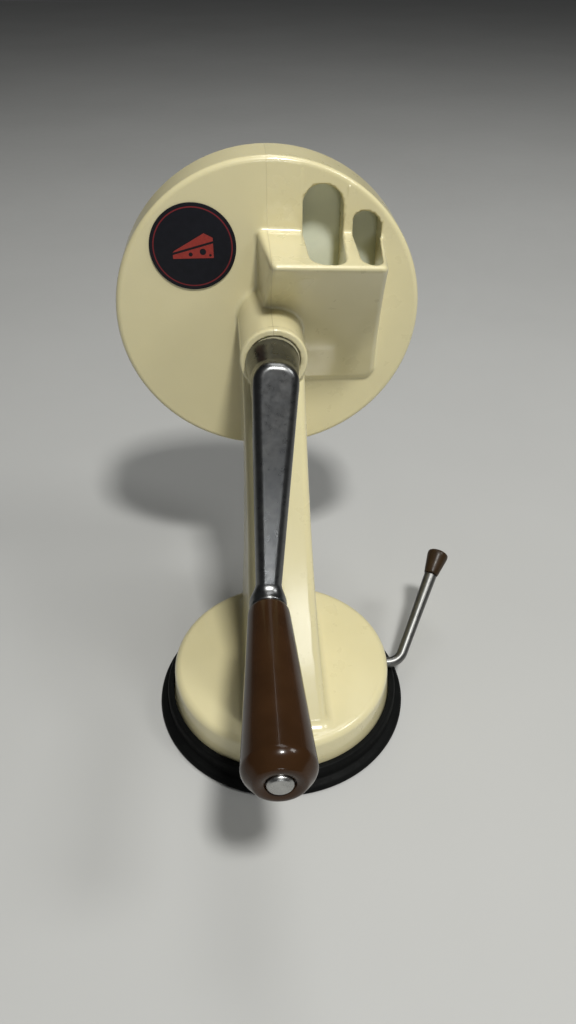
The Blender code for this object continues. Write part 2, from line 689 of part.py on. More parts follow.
def build_cup_lift():
    plate = [(0, 5.2 * MM), (16.4 * MM, 5.2 * MM), (17 * MM, 4.6 * MM)]
    plate += [(17 * MM, 3.7 * MM), (0, 3.7 * MM)]
    smooth(turned("cup_plate", plate, STEEL, 40))
    half_x = 3.5 * MM
    window_y = CAM_R + CAM_THROW + 0.4 * MM
    window_z = CAM_R + 0.5 * MM
    foot_z = 5.5 * MM
    outer_y = window_y + 2.4 * MM
    top_z = CAM_Z + window_z
    yoke = box("lift_yoke", (-half_x, -outer_y, foot_z), (half_x, outer_y, top_z + 2.6 * MM), STEEL)
    window = box("yoke_window", (-10 * MM, -window_y, CAM_Z - window_z), (10 * MM, window_y, top_z))
    cut(yoke, window)


def lever_route(count=6):
    """The rod's middle line and radius: straight along X, a bend, then straight along the arm."""
    corner = Vector((LEVER_BEND_X, 0, LEVER_Z))
    along = Vector((1, 0, 0))
    bend = along.angle(LEVER_ARM)
    reach = LEVER_BEND_RADIUS * math.tan(bend / 2)
    centre_way = (LEVER_ARM - along * along.dot(LEVER_ARM)).normalized()
    start = corner - along * reach
    centre = start + centre_way * LEVER_BEND_RADIUS
    points = [(Vector((LEVER_END_X, 0, LEVER_Z)), LEVER_ROD_R)]
    for i in range(count + 1):
        a = bend * i / count
        point = centre + LEVER_BEND_RADIUS * (along * math.sin(a) - centre_way * math.cos(a))
        points.append((point, LEVER_ROD_R))
    shoulder = LEVER_ARM_LENGTH - KNOB_LENGTH - GAP
    for distance, radius in (
        (shoulder - 0.4 * MM, LEVER_TIP_R),
        (shoulder, LEVER_TANG_R),
        (LEVER_ARM_LENGTH - 4 * MM, LEVER_TANG_R),
    ):
        points.append((corner + LEVER_ARM * distance, radius))
    return points


def build_lever():
    curve = bpy.data.curves.new("lever_rod", "CURVE")
    curve.dimensions = "3D"
    curve.bevel_depth = LEVER_ROD_R
    curve.bevel_resolution = 4
    curve.use_fill_caps = True
    route = lever_route()
    spline = curve.splines.new("POLY")
    spline.points.add(len(route) - 1)
    pivot = Vector((0, 0, LEVER_Z))
    for point, (place, radius) in zip(spline.points, route):
        point.co = (*(place - pivot), 1)
        point.radius = radius / LEVER_ROD_R
    rod = bpy.data.objects.new("lever_rod", curve)
    rod.location = pivot
    curve.materials.append(STEEL)
    PARTS.objects.link(rod)
    hole = LEVER_TANG_R + GAP
    length = KNOB_LENGTH
    knob = [(0, length), (3.4 * MM, length - 0.4 * MM), (KNOB_TIP_R - 0.5 * MM, length - 1.3 * MM)]
    knob += [(KNOB_TIP_R, length - 2.8 * MM), (KNOB_BASE_R, 0), (hole, 0), (hole, length - 3 * MM)]
    knob += [(0, length - 3 * MM)]
    made = turned("lever_knob", knob, BROWN, 28)
    made.location = Vector((LEVER_BEND_X, 0, LEVER_Z)) + LEVER_ARM * (LEVER_ARM_LENGTH - KNOB_LENGTH)
    made.rotation_euler = LEVER_ARM.to_track_quat("Z", "Y").to_euler()
    smooth(made)
    clip = ring_profile(5.2 * MM, LEVER_ROD_R + GAP, -RIB_X[1] - 1.5 * MM, -RIB_X[1] - 0.4 * MM)
    smooth(turned("lever_clip", clip, STEEL, 28, "X", (0, 0, LEVER_Z)))
    half = 6 * MM
    cam = [(0, half), (CAM_R, half), (CAM_R, -half), (0, -half)]
    body = turned("eccentric_cam", cam, STEEL, 40, "X", (0, CAM_Y, CAM_Z))
    bore = [(0, 9 * MM), (LEVER_ROD_R + GAP, 9 * MM), (LEVER_ROD_R + GAP, -9 * MM), (0, -9 * MM)]
    cut(body, turned("cam_bore", bore, None, 24, "X", (0, 0, LEVER_Z)))
    smooth(body)


build_drum_housing()
build_stand()
build_badge()
build_bushes()
build_shaft()
build_crank_arm()
build_grip()
build_disc()
build_clamp_nut()
build_suction_cup()
build_cup_lift()
build_lever()
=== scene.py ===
"""Looks for the hand-cranked rotary cheese grater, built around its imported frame.

Sizes below are in millimetres unless they end in _M. Every mesh is made in the row frame: +X to the
user's right, +Y away from the user along the crank shaft, +Z up, with the origin under the middle of the
suction cup.
"""

import math

import bmesh
import bpy
import numpy as np
from mathutils import Matrix, Vector


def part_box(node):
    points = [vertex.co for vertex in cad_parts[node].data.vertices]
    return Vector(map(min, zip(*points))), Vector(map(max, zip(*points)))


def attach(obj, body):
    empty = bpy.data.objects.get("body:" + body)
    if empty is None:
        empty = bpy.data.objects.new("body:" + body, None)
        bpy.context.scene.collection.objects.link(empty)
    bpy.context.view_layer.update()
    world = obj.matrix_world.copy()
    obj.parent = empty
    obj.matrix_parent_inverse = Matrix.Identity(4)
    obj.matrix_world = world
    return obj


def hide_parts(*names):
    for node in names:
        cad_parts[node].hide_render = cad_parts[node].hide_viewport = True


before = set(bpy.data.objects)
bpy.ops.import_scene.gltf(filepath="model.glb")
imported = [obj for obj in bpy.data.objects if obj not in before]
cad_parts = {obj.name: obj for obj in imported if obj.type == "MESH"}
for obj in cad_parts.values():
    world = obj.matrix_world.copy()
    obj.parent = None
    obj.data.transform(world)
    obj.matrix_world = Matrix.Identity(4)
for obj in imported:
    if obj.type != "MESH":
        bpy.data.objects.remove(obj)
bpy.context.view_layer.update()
MM = 0.001


def box_mm(node):
    """Lowest and highest corner of a CAD node, in millimetres."""
    low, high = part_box(node)
    return np.array(low) / MM, np.array(high) / MM


# ---------------------------------------------------------------- sizes read from the frame

DRUM_LOW, DRUM_HIGH = box_mm("drum_housing")
DRUM_R = (DRUM_HIGH[0] - DRUM_LOW[0]) / 2
SHAFT_Z = (DRUM_HIGH[2] + DRUM_LOW[2]) / 2
RIM_Y = DRUM_HIGH[1]
COLLAR_Y = DRUM_LOW[1]
CUP_HIGH = box_mm("suction_cup")[1]
CUP_R = CUP_HIGH[0]
CUP_LIP_Z = CUP_HIGH[2]
GRIP_LOW, GRIP_HIGH = box_mm("handle_grip")
GRIP_X = (GRIP_LOW[0] + GRIP_HIGH[0]) / 2
GRIP_Z = (GRIP_LOW[2] + GRIP_HIGH[2]) / 2
GRIP_R = (GRIP_HIGH[0] - GRIP_LOW[0]) / 2
DISC_LOW, DISC_HIGH = box_mm("disc_carrier")
DISC_R = DISC_HIGH[0]
NUT_LOW, NUT_HIGH = box_mm("clamp_nut")

# ---------------------------------------------------------------- body moulding sizes

FACE_Y = 88.3
WALL = 2.6
PLATE_BACK_Y = FACE_Y + WALL
BOSS_R = 14.2
BOSS_BACK_R = 15.2
COLLAR_R = 15.4
COLLAR_LENGTH = 4.2
REAR_BOSS_R = 12.0
REAR_BOSS_Y = 97.0
BUSH_SEAT_R = 8.3
BUSH_SEAT_FRONT_Y = 35
BUSH_RECESS_R = 12.1
BUSH_RECESS_DEPTH = 2.2
HOPPER_TOP_Z = 220.6
HOPPER_TOP_DROP = 3.6
HOPPER_LEFT_X = -5.0
HOPPER_RIGHT_X = 54.4
HOPPER_FRONT_Y = 41.0
HOPPER_KNEE_Y = 71.0
HOPPER_KNEE_Z = 191.0
HOPPER_FOOT_Y = 86.4
HOPPER_FOOT_Z = 143.5
HOPPER_DRAFT = 4.6
HOPPER_SLOPE = (HOPPER_KNEE_Y - HOPPER_FRONT_Y) / (HOPPER_TOP_Z - HOPPER_KNEE_Z)
HOPPER_LOWER_SLOPE = (HOPPER_FOOT_Y - HOPPER_KNEE_Y) / (HOPPER_KNEE_Z - HOPPER_FOOT_Z)
HOPPER_WALL_Y = 3.2
HOPPER_BLEND_R = 14.0  # between the front's two slopes
POCKET_SIDE_WALL = 2.8
POCKET_RIGHT_X = 13.2
POCKET_BACK_Y = 95
UPPER_POCKET_Z = (201, 216.5)
LOWER_POCKET_X = (19.5, 50.5)
LOWER_POCKET_FOOT_Z = 148
LOWER_POCKET_CEILING = 2.4
CHUTE_FOOT_Z = 176.0
CHUTE_MOUTH_Y = HOPPER_FRONT_Y + 4.4
GUIDE_END_Y = 101.3
GUIDE_WALL = 2.0
BASE_TOP_Z = 26.56
BASE_R = 55.7
SKIRT_R = 57.0
SKIRT_FOOT_Z = 5.5
SKIRT_TAPER_Z = 8.2  # the skirt's slope reaches SKIRT_R here
FLANGE_TOP_Z = 7.4
FLANGE_WIDTH = 1.2
FIN_FRONT_Y = -46.0
FIN_FRONT_TOP_Y = 41.9
FIN_BACK_Y = 45.0
FIN_TOP_Z = 166.0
FIN_HALF_TOP = 14.5
FIN_HALF_FOOT = 19.7
FIN_FLARE = 2.45
FIN_FRONT_LEAN = 0.85  # cosines that turn a run along Y into a distance from the leaning face
FIN_BACK_LEAN = 0.87
FIN_FRONT_EDGE_R = 3.6
FIN_BACK_EDGE_R = 4.0
FIN_HOLLOW_TOP_Z = 158
RIB_X = (21, 24)
RIB_HALF_Y = 9
RIB_FOOT_Z = 11.5
DRUM_FOOT_Z = SHAFT_Z - DRUM_R
LEVER_Z = 18.0
LEVER_HOLE_R = 3.4
LEVER_HOLE_END_X = -40

# Each chute: its sides and the top of its arch on the drum's face, the radii of the arch's two corners,
# then its sides and corner radii at the hopper's front.
BIG_CHUTE = {
    "left": 16.4,
    "right": 35.2,
    "top": 240.3,
    "arch_r": (8.7, 10.1),
    "front": (16.8, 32.0),
    "front_r": (7.2, 4.8),
}
SMALL_CHUTE = {
    "left": 39.9,
    "right": 53.3,
    "top": 228.1,
    "arch_r": (5.0, 8.4),
    "front": (39.4, 48.1),
    "front_r": (6.0, 3.6),
}

# ---------------------------------------------------------------- signed distances, negative inside


def round_union(a, b, radius):
    """Both shapes, with a round fillet where they meet."""
    reach = np.hypot(np.maximum(radius - a, 0), np.maximum(radius - b, 0))
    return np.maximum(radius, np.minimum(a, b)) - reach


def round_meet(a, b, radius):
    """What lies in both shapes, with the edge between them rounded."""
    reach = np.hypot(np.maximum(radius + a, 0), np.maximum(radius + b, 0))
    return np.minimum(-radius, np.maximum(a, b)) + reach


def round_cut(a, b, radius):
    return round_meet(a, -b, radius)


def slab(value, low, high):
    return np.maximum(low - value, value - high)


def arch(x, z, chute, grow=0.0):
    """A chute's outline on the drum's face: an arch of two unlike quarter rounds over straight sides."""
    apex = chute["left"] + chute["arch_r"][0]
    left = x < apex
    radius = np.where(left, chute["arch_r"][0], chute["arch_r"][1]) + grow
    side = np.abs(x - apex)
    above = np.maximum(z - (chute["top"] + grow - radius), 0)
    return np.maximum(np.hypot(side, above) - radius, CHUTE_FOOT_Z - grow - z)


def chute_channel(x, y, z, chute):
    """The slanting channel from the hopper's top down to the drum's face."""
    lean = 1 / math.hypot(1, HOPPER_SLOPE)
    level_y = y - (HOPPER_TOP_Z - z) * HOPPER_SLOPE
    share = (level_y - CHUTE_MOUTH_Y) / (FACE_Y - CHUTE_MOUTH_Y)
    front_left, front_right = chute["front"]
    to_left = front_left + (chute["left"] - front_left) * share - x
    to_right = x - front_right - (chute["right"] - front_right) * share
    left_r, right_r = chute["front_r"]
    channel = round_meet((CHUTE_MOUTH_Y - level_y) * lean, to_left, left_r)
    channel = round_meet(channel, to_right, right_r)
    channel = np.maximum(channel, y - FACE_Y)
    return np.maximum(channel, CHUTE_FOOT_Z - z)


def hopper_front(y, z, depth=0.0):
    """The hopper's front, or a surface depth behind it: one slope above its knee, one below, blended."""
    upper = HOPPER_FRONT_Y + depth + (HOPPER_TOP_Z - z) * HOPPER_SLOPE - y
    lower = HOPPER_FOOT_Y + depth - (z - HOPPER_FOOT_Z) * HOPPER_LOWER_SLOPE - y
    upper = upper / math.hypot(1, HOPPER_SLOPE)
    lower = lower / math.hypot(1, HOPPER_LOWER_SLOPE)
    return round_union(upper, lower, HOPPER_BLEND_R)


def hopper(x, y, z):
    """The hopper on the drum's face: level on top, its front sloping down and back, its sides drafted."""
    across = (x - HOPPER_LEFT_X) / (HOPPER_RIGHT_X - HOPPER_LEFT_X)
    draft = HOPPER_DRAFT * (FACE_Y - y) / (FACE_Y - HOPPER_FRONT_Y)
    top = z - HOPPER_TOP_Z + HOPPER_TOP_DROP * across
    sides = np.maximum(HOPPER_LEFT_X + draft - x, x - HOPPER_RIGHT_X + draft)
    outline = round_meet(sides, HOPPER_FOOT_Z - z, 5.0)
    block = round_meet(hopper_front(y, z), top, 3.4)
    block = round_meet(block, outline, 2.6)
    return np.maximum(block, y - PLATE_BACK_Y)


def pockets(x, y, z):
    """The cored-out backs of the hopper's upper left part and of its foot."""
    draft = HOPPER_DRAFT * (FACE_Y - y) / (FACE_Y - HOPPER_FRONT_Y)
    upper = slab(x, HOPPER_LEFT_X + POCKET_SIDE_WALL + draft, POCKET_RIGHT_X)
    upper = np.maximum(upper, slab(z, *UPPER_POCKET_Z))
    lower = slab(z, LOWER_POCKET_FOOT_Z, CHUTE_FOOT_Z - LOWER_POCKET_CEILING)
    lower = np.maximum(slab(x, *LOWER_POCKET_X), lower)
    depth = np.maximum(hopper_front(y, z, HOPPER_WALL_Y), y - POCKET_BACK_Y)
    return np.maximum(np.minimum(upper, lower), depth)


def fin(x, y, z, inset=0.0):
    """The column: it leans back from the base to the drum, and widens towards its foot."""
    rise = np.clip((z - BASE_TOP_Z) / (FIN_TOP_Z - BASE_TOP_Z), 0, None)
    rest = np.maximum(1 - rise, 0)
    half = FIN_HALF_TOP + (FIN_HALF_FOOT - FIN_HALF_TOP) * rest**FIN_FLARE
    front = FIN_FRONT_Y + (FIN_FRONT_TOP_Y - FIN_FRONT_Y) * rise
    back = FIN_BACK_Y + (FACE_Y + 1 - FIN_BACK_Y) * (z - BASE_TOP_Z) / (DRUM_FOOT_Z - BASE_TOP_Z)
    back = np.minimum(back, FACE_Y + 1)
    side = np.abs(x) - half + inset
    shape = round_meet(side, (front - y) * FIN_FRONT_LEAN + inset, max(FIN_FRONT_EDGE_R - inset, 1.0))
    return round_meet(shape, (y - back) * FIN_BACK_LEAN + inset, max(FIN_BACK_EDGE_R - inset, 1.0))


def drum(x, y, z):
    """The drum: a pan open at its back."""
    radial = np.hypot(x, z - SHAFT_Z)
    shape = round_meet(radial - DRUM_R, FACE_Y - y, 2.6)
    shape = round_meet(shape, y - RIM_Y, 0.8)
    pan = round_meet(radial - DRUM_R + WALL, PLATE_BACK_Y - y, 1.6)
    return round_cut(shape, pan, 0.6)


def moulding(x, y, z):
    """The one cream moulding: drum, hopper, boss, column and base."""
    radial = np.hypot(x, z - SHAFT_Z)
    boss_r = BOSS_R + (BOSS_BACK_R - BOSS_R) * (y - COLLAR_Y) / (FACE_Y - COLLAR_Y)
    boss = np.maximum(radial - boss_r, slab(y, COLLAR_Y + 1, PLATE_BACK_Y))
    column = fin(x, y, z)
    upper = np.maximum(column, slab(z, BASE_TOP_Z - 2, SHAFT_Z))
    shape = round_union(drum(x, y, z), upper, 2.2)
    shape = round_union(shape, boss, 2.4)
    shape = round_union(shape, hopper(x, y, z), 1.8)
    collar = round_meet(radial - COLLAR_R, slab(y, COLLAR_Y, COLLAR_Y + COLLAR_LENGTH), 0.9)
    shape = round_union(shape, collar, 0.5)
    rear = round_meet(radial - REAR_BOSS_R, slab(y, PLATE_BACK_Y - 1, REAR_BOSS_Y), 0.6)
    shape = round_union(shape, rear, 1.2)
    for chute in (BIG_CHUTE, SMALL_CHUTE):
        guide = np.maximum(arch(x, z, chute, GUIDE_WALL), slab(y, PLATE_BACK_Y - 1, GUIDE_END_Y))
        shape = round_union(shape, guide, 0.8)
    base = base_shell(x, y, z)
    shape = round_union(shape, base, 3.6)
    hollow = np.maximum(fin(x, y, z, WALL), slab(z, -5, FIN_HOLLOW_TOP_Z))
    inside = round_meet(np.hypot(x, y) - BASE_R + WALL, z - BASE_TOP_Z + WALL, 2.0)
    shape = round_cut(shape, np.minimum(hollow, inside), 0.5)
    ribs = np.maximum(slab(np.abs(x), *RIB_X), slab(np.abs(y), -RIB_HALF_Y, RIB_HALF_Y))
    shape = np.minimum(shape, np.maximum(ribs, slab(z, RIB_FOOT_Z, BASE_TOP_Z - 1)))
    for chute in (BIG_CHUTE, SMALL_CHUTE):
        bore = np.maximum(arch(x, z, chute), slab(y, FACE_Y - 0.6, GUIDE_END_Y + 5))
        opening = np.minimum(bore, chute_channel(x, y, z, chute))
        shape = round_cut(shape, opening, 0.8)
    seat = np.maximum(radial - BUSH_SEAT_R, BUSH_SEAT_FRONT_Y - y)
    recess = slab(y, BUSH_SEAT_FRONT_Y, COLLAR_Y + BUSH_RECESS_DEPTH)
    recess = np.maximum(radial - BUSH_RECESS_R, recess)
    shape = round_cut(shape, np.minimum(seat, recess), 0.4)
    shape = round_cut(shape, pockets(x, y, z), 0.6)
    lever_hole = np.maximum(np.hypot(y, z - LEVER_Z) - LEVER_HOLE_R, LEVER_HOLE_END_X - x)
    return round_cut(shape, lever_hole, 0.5)


def base_shell(x, y, z):
    """The round base cover, with the flange under its skirt that the rubber cup grips."""
    radial = np.hypot(x, y)
    skirt = radial - BASE_R - (BASE_TOP_Z - z) * (SKIRT_R - BASE_R) / (BASE_TOP_Z - SKIRT_TAPER_Z)
    shape = round_meet(skirt, z - BASE_TOP_Z, 3.6)
    shape = np.maximum(shape, SKIRT_FOOT_Z - z)
    flange = np.maximum(radial - SKIRT_R - FLANGE_WIDTH, slab(z, SKIRT_FOOT_Z, FLANGE_TOP_Z))
    return np.minimum(shape, flange)


# ---------------------------------------------------------------- meshes from signed distances


def net_of(field, low, high, pitch):
    """Vertices and quads of a field's zero surface, one vertex in each cell it crosses."""
    axes = [np.arange(a, b + pitch, pitch, dtype=np.float32) for a, b in zip(low, high)]
    grid = np.meshgrid(*axes, indexing="ij", sparse=True)
    values = field(*grid).astype(np.float32)
    inside = values < 0
    shape = np.array(values.shape)
    strides = np.array([shape[1] * shape[2], shape[2], 1])
    sums, quads, flips = [], [], []
    for axis in range(3):
        ahead = [slice(None)] * 3
        behind = [slice(None)] * 3
        ahead[axis] = slice(1, None)
        behind[axis] = slice(None, -1)
        crossing = np.argwhere(inside[tuple(ahead)] != inside[tuple(behind)])
        first = values[tuple(crossing.T)]
        after = crossing.copy()
        after[:, axis] += 1
        second = values[tuple(after.T)]
        point = crossing.astype(np.float64)
        point[:, axis] += first / (first - second)
        others = [a for a in range(3) if a != axis]
        corner = crossing @ strides
        u, v = strides[others[0]], strides[others[1]]
        cells = np.stack([corner, corner - u, corner - u - v, corner - v], axis=1)
        sums.append((np.repeat(point, 4, axis=0), cells.reshape(-1)))
        quads.append(cells)
        turn = (first < 0) != (axis == 1)
        flips.append(turn)
    cells = np.concatenate([c for _, c in sums])
    points = np.concatenate([p for p, _ in sums])
    used, index = np.unique(cells, return_inverse=True)
    index = index.reshape(-1)
    count = np.bincount(index)
    middle = np.stack([np.bincount(index, points[:, a]) / count for a in range(3)], axis=1)
    faces = np.searchsorted(used, np.concatenate(quads))
    turned = np.concatenate(flips)
    faces[~turned] = faces[~turned][:, ::-1]
    return np.array(low) + middle * pitch, faces


CREASE_COSINE = 0.94
SLOPE_STEP = 0.02
SETTLE_ROUNDS = 3


def slope_of(field, points):
    """The field's gradient at each point."""
    parts = []
    for axis in range(3):
        offset = np.zeros(3)
        offset[axis] = SLOPE_STEP
        ahead = field(*(points + offset).T)
        behind = field(*(points - offset).T)
        parts.append((ahead - behind) / (2 * SLOPE_STEP))
    return np.stack(parts, axis=1)


def settle(field, points, most):
    """Moves points onto the field's zero surface, by at most a set length each round."""
    for _ in range(SETTLE_ROUNDS):
        slope = slope_of(field, points)
        size = np.maximum((slope**2).sum(axis=1), 0.2)
        move = (field(*points.T) / size)[:, None] * slope
        length = np.linalg.norm(move, axis=1, keepdims=True)
        points = points - move * np.minimum(1, most / np.maximum(length, 1e-9))
    return points


def moulded(name, field, low, high, pitch, ratio):
    """A mesh of a field, thinned where it is flat, with its shading taken from the field itself."""
    points, faces = net_of(field, low, high, pitch)
    points = settle(field, points, pitch * 0.6)
    mesh = bpy.data.meshes.new(name)
    mesh.from_pydata((points * MM).tolist(), [], faces.tolist())
    obj = bpy.data.objects.new(name, mesh)
    bpy.context.scene.collection.objects.link(obj)
    thin = obj.modifiers.new("thin", "DECIMATE")
    thin.ratio = ratio
    apply_modifiers(obj)
    mesh = obj.data
    places = np.empty(len(mesh.vertices) * 3)
    mesh.vertices.foreach_get("co", places)
    places = settle(field, places.reshape(-1, 3) / MM, pitch * 0.3)
    mesh.vertices.foreach_set("co", (places * MM).reshape(-1))
    mesh.update()
    mesh.shade_smooth()
    shade_from(mesh, slope_of(field, places))
    return obj


def shade_from(mesh, slopes):
    """Shades each point by the field's slope there, but by its faces where it lies on a crease."""
    slopes = slopes / np.maximum(np.linalg.norm(slopes, axis=1, keepdims=True), 1e-9)
    averages = np.empty(len(mesh.vertices) * 3)
    mesh.vertex_normals.foreach_get("vector", averages)
    averages = averages.reshape(-1, 3)
    agree = (slopes * averages).sum(axis=1, keepdims=True) > CREASE_COSINE
    mesh.normals_split_custom_set_from_vertices(np.where(agree, slopes, averages).tolist())


def apply_modifiers(obj):
    """Replaces the object's mesh by the one its modifiers make."""
    graph = bpy.context.evaluated_depsgraph_get()
    made = bpy.data.meshes.new_from_object(obj.evaluated_get(graph))
    obj.modifiers.clear()
    old = obj.data
    obj.data = made
    made.name = old.name
    bpy.data.meshes.remove(old)


# ---------------------------------------------------------------- turned and lofted meshes


ROUND_SEGMENTS = 5
SHARP_DEGREES = 32


def rounded(points):
    """A profile with its corners rounded. Each point is (radius, height, corner radius)."""
    outline = []
    for i, (r, h, radius) in enumerate(points):
        if radius <= 0 or i in (0, len(points) - 1):
            outline.append((r, h))
            continue
        here = Vector((r, h))
        before = Vector(points[i - 1][:2]) - here
        after = Vector(points[i + 1][:2]) - here
        reach = min(radius, before.length * 0.49, after.length * 0.49)
        start = here + before.normalized() * reach
        end = here + after.normalized() * reach
        for k in range(ROUND_SEGMENTS + 1):
            t = k / ROUND_SEGMENTS
            place = start * (1 - t) ** 2 + here * 2 * t * (1 - t) + end * t**2
            outline.append((place.x, place.y))
    return outline


def mesh_object(name, points, faces):
    mesh = bpy.data.meshes.new(name)
    mesh.from_pydata([tuple(c * MM for c in p) for p in points], [], faces)
    obj = bpy.data.objects.new(name, mesh)
    bpy.context.scene.collection.objects.link(obj)
    shape = bmesh.new()
    shape.from_mesh(mesh)
    bmesh.ops.remove_doubles(shape, verts=shape.verts, dist=1e-6)
    bmesh.ops.recalc_face_normals(shape, faces=shape.faces)
    shape.to_mesh(mesh)
    shape.free()
    mesh.shade_smooth()
    mesh.set_sharp_from_angle(angle=math.radians(SHARP_DEGREES))
    return obj


def turned(name, outline, steps=96, place=(0, 0, 0), along="Z", closed=False, ripple=None):
    """A profile of (radius, height) points turned about an axis through place."""
    points, faces = [], []
    count = len(outline)
    for i in range(steps):
        a = 2 * math.pi * i / steps
        for k, (r, h) in enumerate(outline):
            if ripple:
                r = ripple(a, r)
            u, v = r * math.cos(a), r * math.sin(a)
            local = {"Z": (u, v, h), "Y": (u, h, v), "X": (h, u, v)}[along]
            points.append(tuple(p + q for p, q in zip(place, local)))
    spans = count if closed else count - 1
    for i in range(steps):
        j = (i + 1) % steps
        for k in range(spans):
            m = (k + 1) % count
            faces.append((i * count + k, j * count + k, j * count + m, i * count + m))
    return mesh_object(name, points, faces)


def lofted(name, rings):
    """A closed skin through rings of equally many points."""
    points = [p for ring in rings for p in ring]
    count = len(rings[0])
    faces = []
    for i in range(len(rings) - 1):
        for k in range(count):
            m = (k + 1) % count
            faces.append((i * count + k, i * count + m, (i + 1) * count + m, (i + 1) * count + k))
    faces.append(tuple(range(count)))
    faces.append(tuple((len(rings) - 1) * count + k for k in range(count)))
    return mesh_object(name, points, faces)


# ---------------------------------------------------------------- crank arm

CRANK_DROP = math.hypot(GRIP_X, SHAFT_Z - GRIP_Z)
CRANK_ANGLE = math.atan2(-GRIP_X, SHAFT_Z - GRIP_Z)
HUB_R = 12.2
HUB_TAPER = 0.106
HUB_X = -0.75
HUB_BACK_Y = 39.6
HUB_FLATTEN = 1.05  # the hub is this much narrower from top to bottom
HUB_FRONT_OUT = 2.0  # from the arm's middle line to where the hub ends
CRANK_BORE_R = 5.3
CRANK_BORE_END_Y = 26.6
FERRULE_R = 8.15
FERRULE_START_Y = -28.0
FERRULE_END_Y = -39.5
SOCKET_R = 3.5
SOCKET_Y = -31
ARM_TOP_Y = 14.66  # where the arm's middle line passes in front of the shaft
ARM_RUN = (-0.518, 0.855)  # along the arm: away from +Y, and down
ARM_FRONT = 6.6  # from the arm's middle line to its flat front
ARM_CORNER_R = 8.4
ARM_ENDS = (-3.1, 88)  # along the arm
ARM_HALF_TOP = 9.87
ARM_TAPER = 0.0514  # what each half loses for each millimetre down
ARM_THINNING = 0.03
ARM_SHIFT_X = 0.9
ARM_DRIFT = 0.01


def crank(x, y, z):
    """The casting, hanging straight down from the shaft: hub, flat-faced arm and ferrule."""
    drop = SHAFT_Z - z
    along = (y - ARM_TOP_Y) * ARM_RUN[0] + drop * ARM_RUN[1]
    out = -(y - ARM_TOP_Y) * ARM_RUN[1] + drop * ARM_RUN[0]
    down = np.clip(along, 0, 90)
    half = ARM_HALF_TOP - ARM_TAPER * down
    offset = x + ARM_SHIFT_X - ARM_DRIFT * down
    end = np.maximum(ARM_ENDS[0] - along, along - ARM_ENDS[1])
    side = np.maximum(np.abs(offset) - half + ARM_CORNER_R, 0)
    outline = np.hypot(side, np.maximum(end, 0)) - ARM_CORNER_R
    bar = round_meet(outline, slab(out, ARM_THINNING * down - ARM_FRONT, ARM_FRONT), 4.0)
    hub_r = HUB_R - HUB_TAPER * (HUB_BACK_Y - y)
    hub = np.maximum(np.hypot(x - HUB_X, drop * HUB_FLATTEN) - hub_r, y - HUB_BACK_Y)
    hub = round_meet(hub, out - HUB_FRONT_OUT, 3.4)
    shape = round_union(bar, hub, 2.0)
    ferrule = round_meet(np.hypot(x, drop - CRANK_DROP) - FERRULE_R, FERRULE_END_Y - y, 1.3)
    ferrule = round_meet(ferrule, y - FERRULE_START_Y, 7.0)
    shape = round_union(shape, ferrule, 2.5)
    shape = np.maximum(shape, FERRULE_END_Y - y)
    bore = np.maximum(np.hypot(x, drop) - CRANK_BORE_R, CRANK_BORE_END_Y - y)
    socket = np.maximum(np.hypot(x, drop - CRANK_DROP) - SOCKET_R, y - SOCKET_Y)
    return round_cut(shape, np.minimum(bore, socket), 0.3)


def hang(obj):
    """Turns a piece made hanging straight down to the crank's angle at rest."""
    turn = Matrix.Rotation(CRANK_ANGLE, 4, "Y")
    middle = Matrix.Translation((0, 0, SHAFT_Z * MM))
    obj.data.transform(middle @ turn @ middle.inverted())
    return obj


# ---------------------------------------------------------------- grating disc and its plates

WINDOW_R = (22.0, 63.0)
WINDOW_ANGLES = (135.0, 315.0)
WINDOW_HALF_ANGLE = 36.0
HOLE_R = 1.9
HOLE_ROWS = 5
FIRST_ROW_R = 27.5
ROW_STEP = 7.6
ROW_SPREAD = 0.84  # share of the window's angle that a row of holes spans
DISC_FRONT_Y = 102.0
DISC_BACK_Y = 104.6
DISC_RIM_R = 68
DISC_RIM_BACK_Y = 106.2
DISC_HUB_R = 9
DISC_RIB_HALF = 1.1
DISC_RIB_BACK_Y = 105.7
DISC_RIB_REACH = (8, 69)
SQUARE_HALF = 3.8
PLATE_Y = (102.6, 103.8)
CROWN_TOP_Y = 101.75
CROWN_FOOT_Y = 103.0
CROWN_TEETH = 6
CROWN_TOOTH = 0.28


def sector(x, z, angle, inset):
    """A ring sector of the disc about the shaft, shrunk by inset, its corners rounded."""
    a = math.radians(angle)
    u = x * math.cos(a) + (z - SHAFT_Z) * math.sin(a)
    v = np.abs((z - SHAFT_Z) * math.cos(a) - x * math.sin(a))
    half = math.radians(WINDOW_HALF_ANGLE)
    side = v * math.cos(half) - u * math.sin(half) + inset
    radial = np.hypot(u, v)
    ring = slab(radial, WINDOW_R[0] + inset, WINDOW_R[1] - inset)
    return round_meet(side, ring, 1.2)


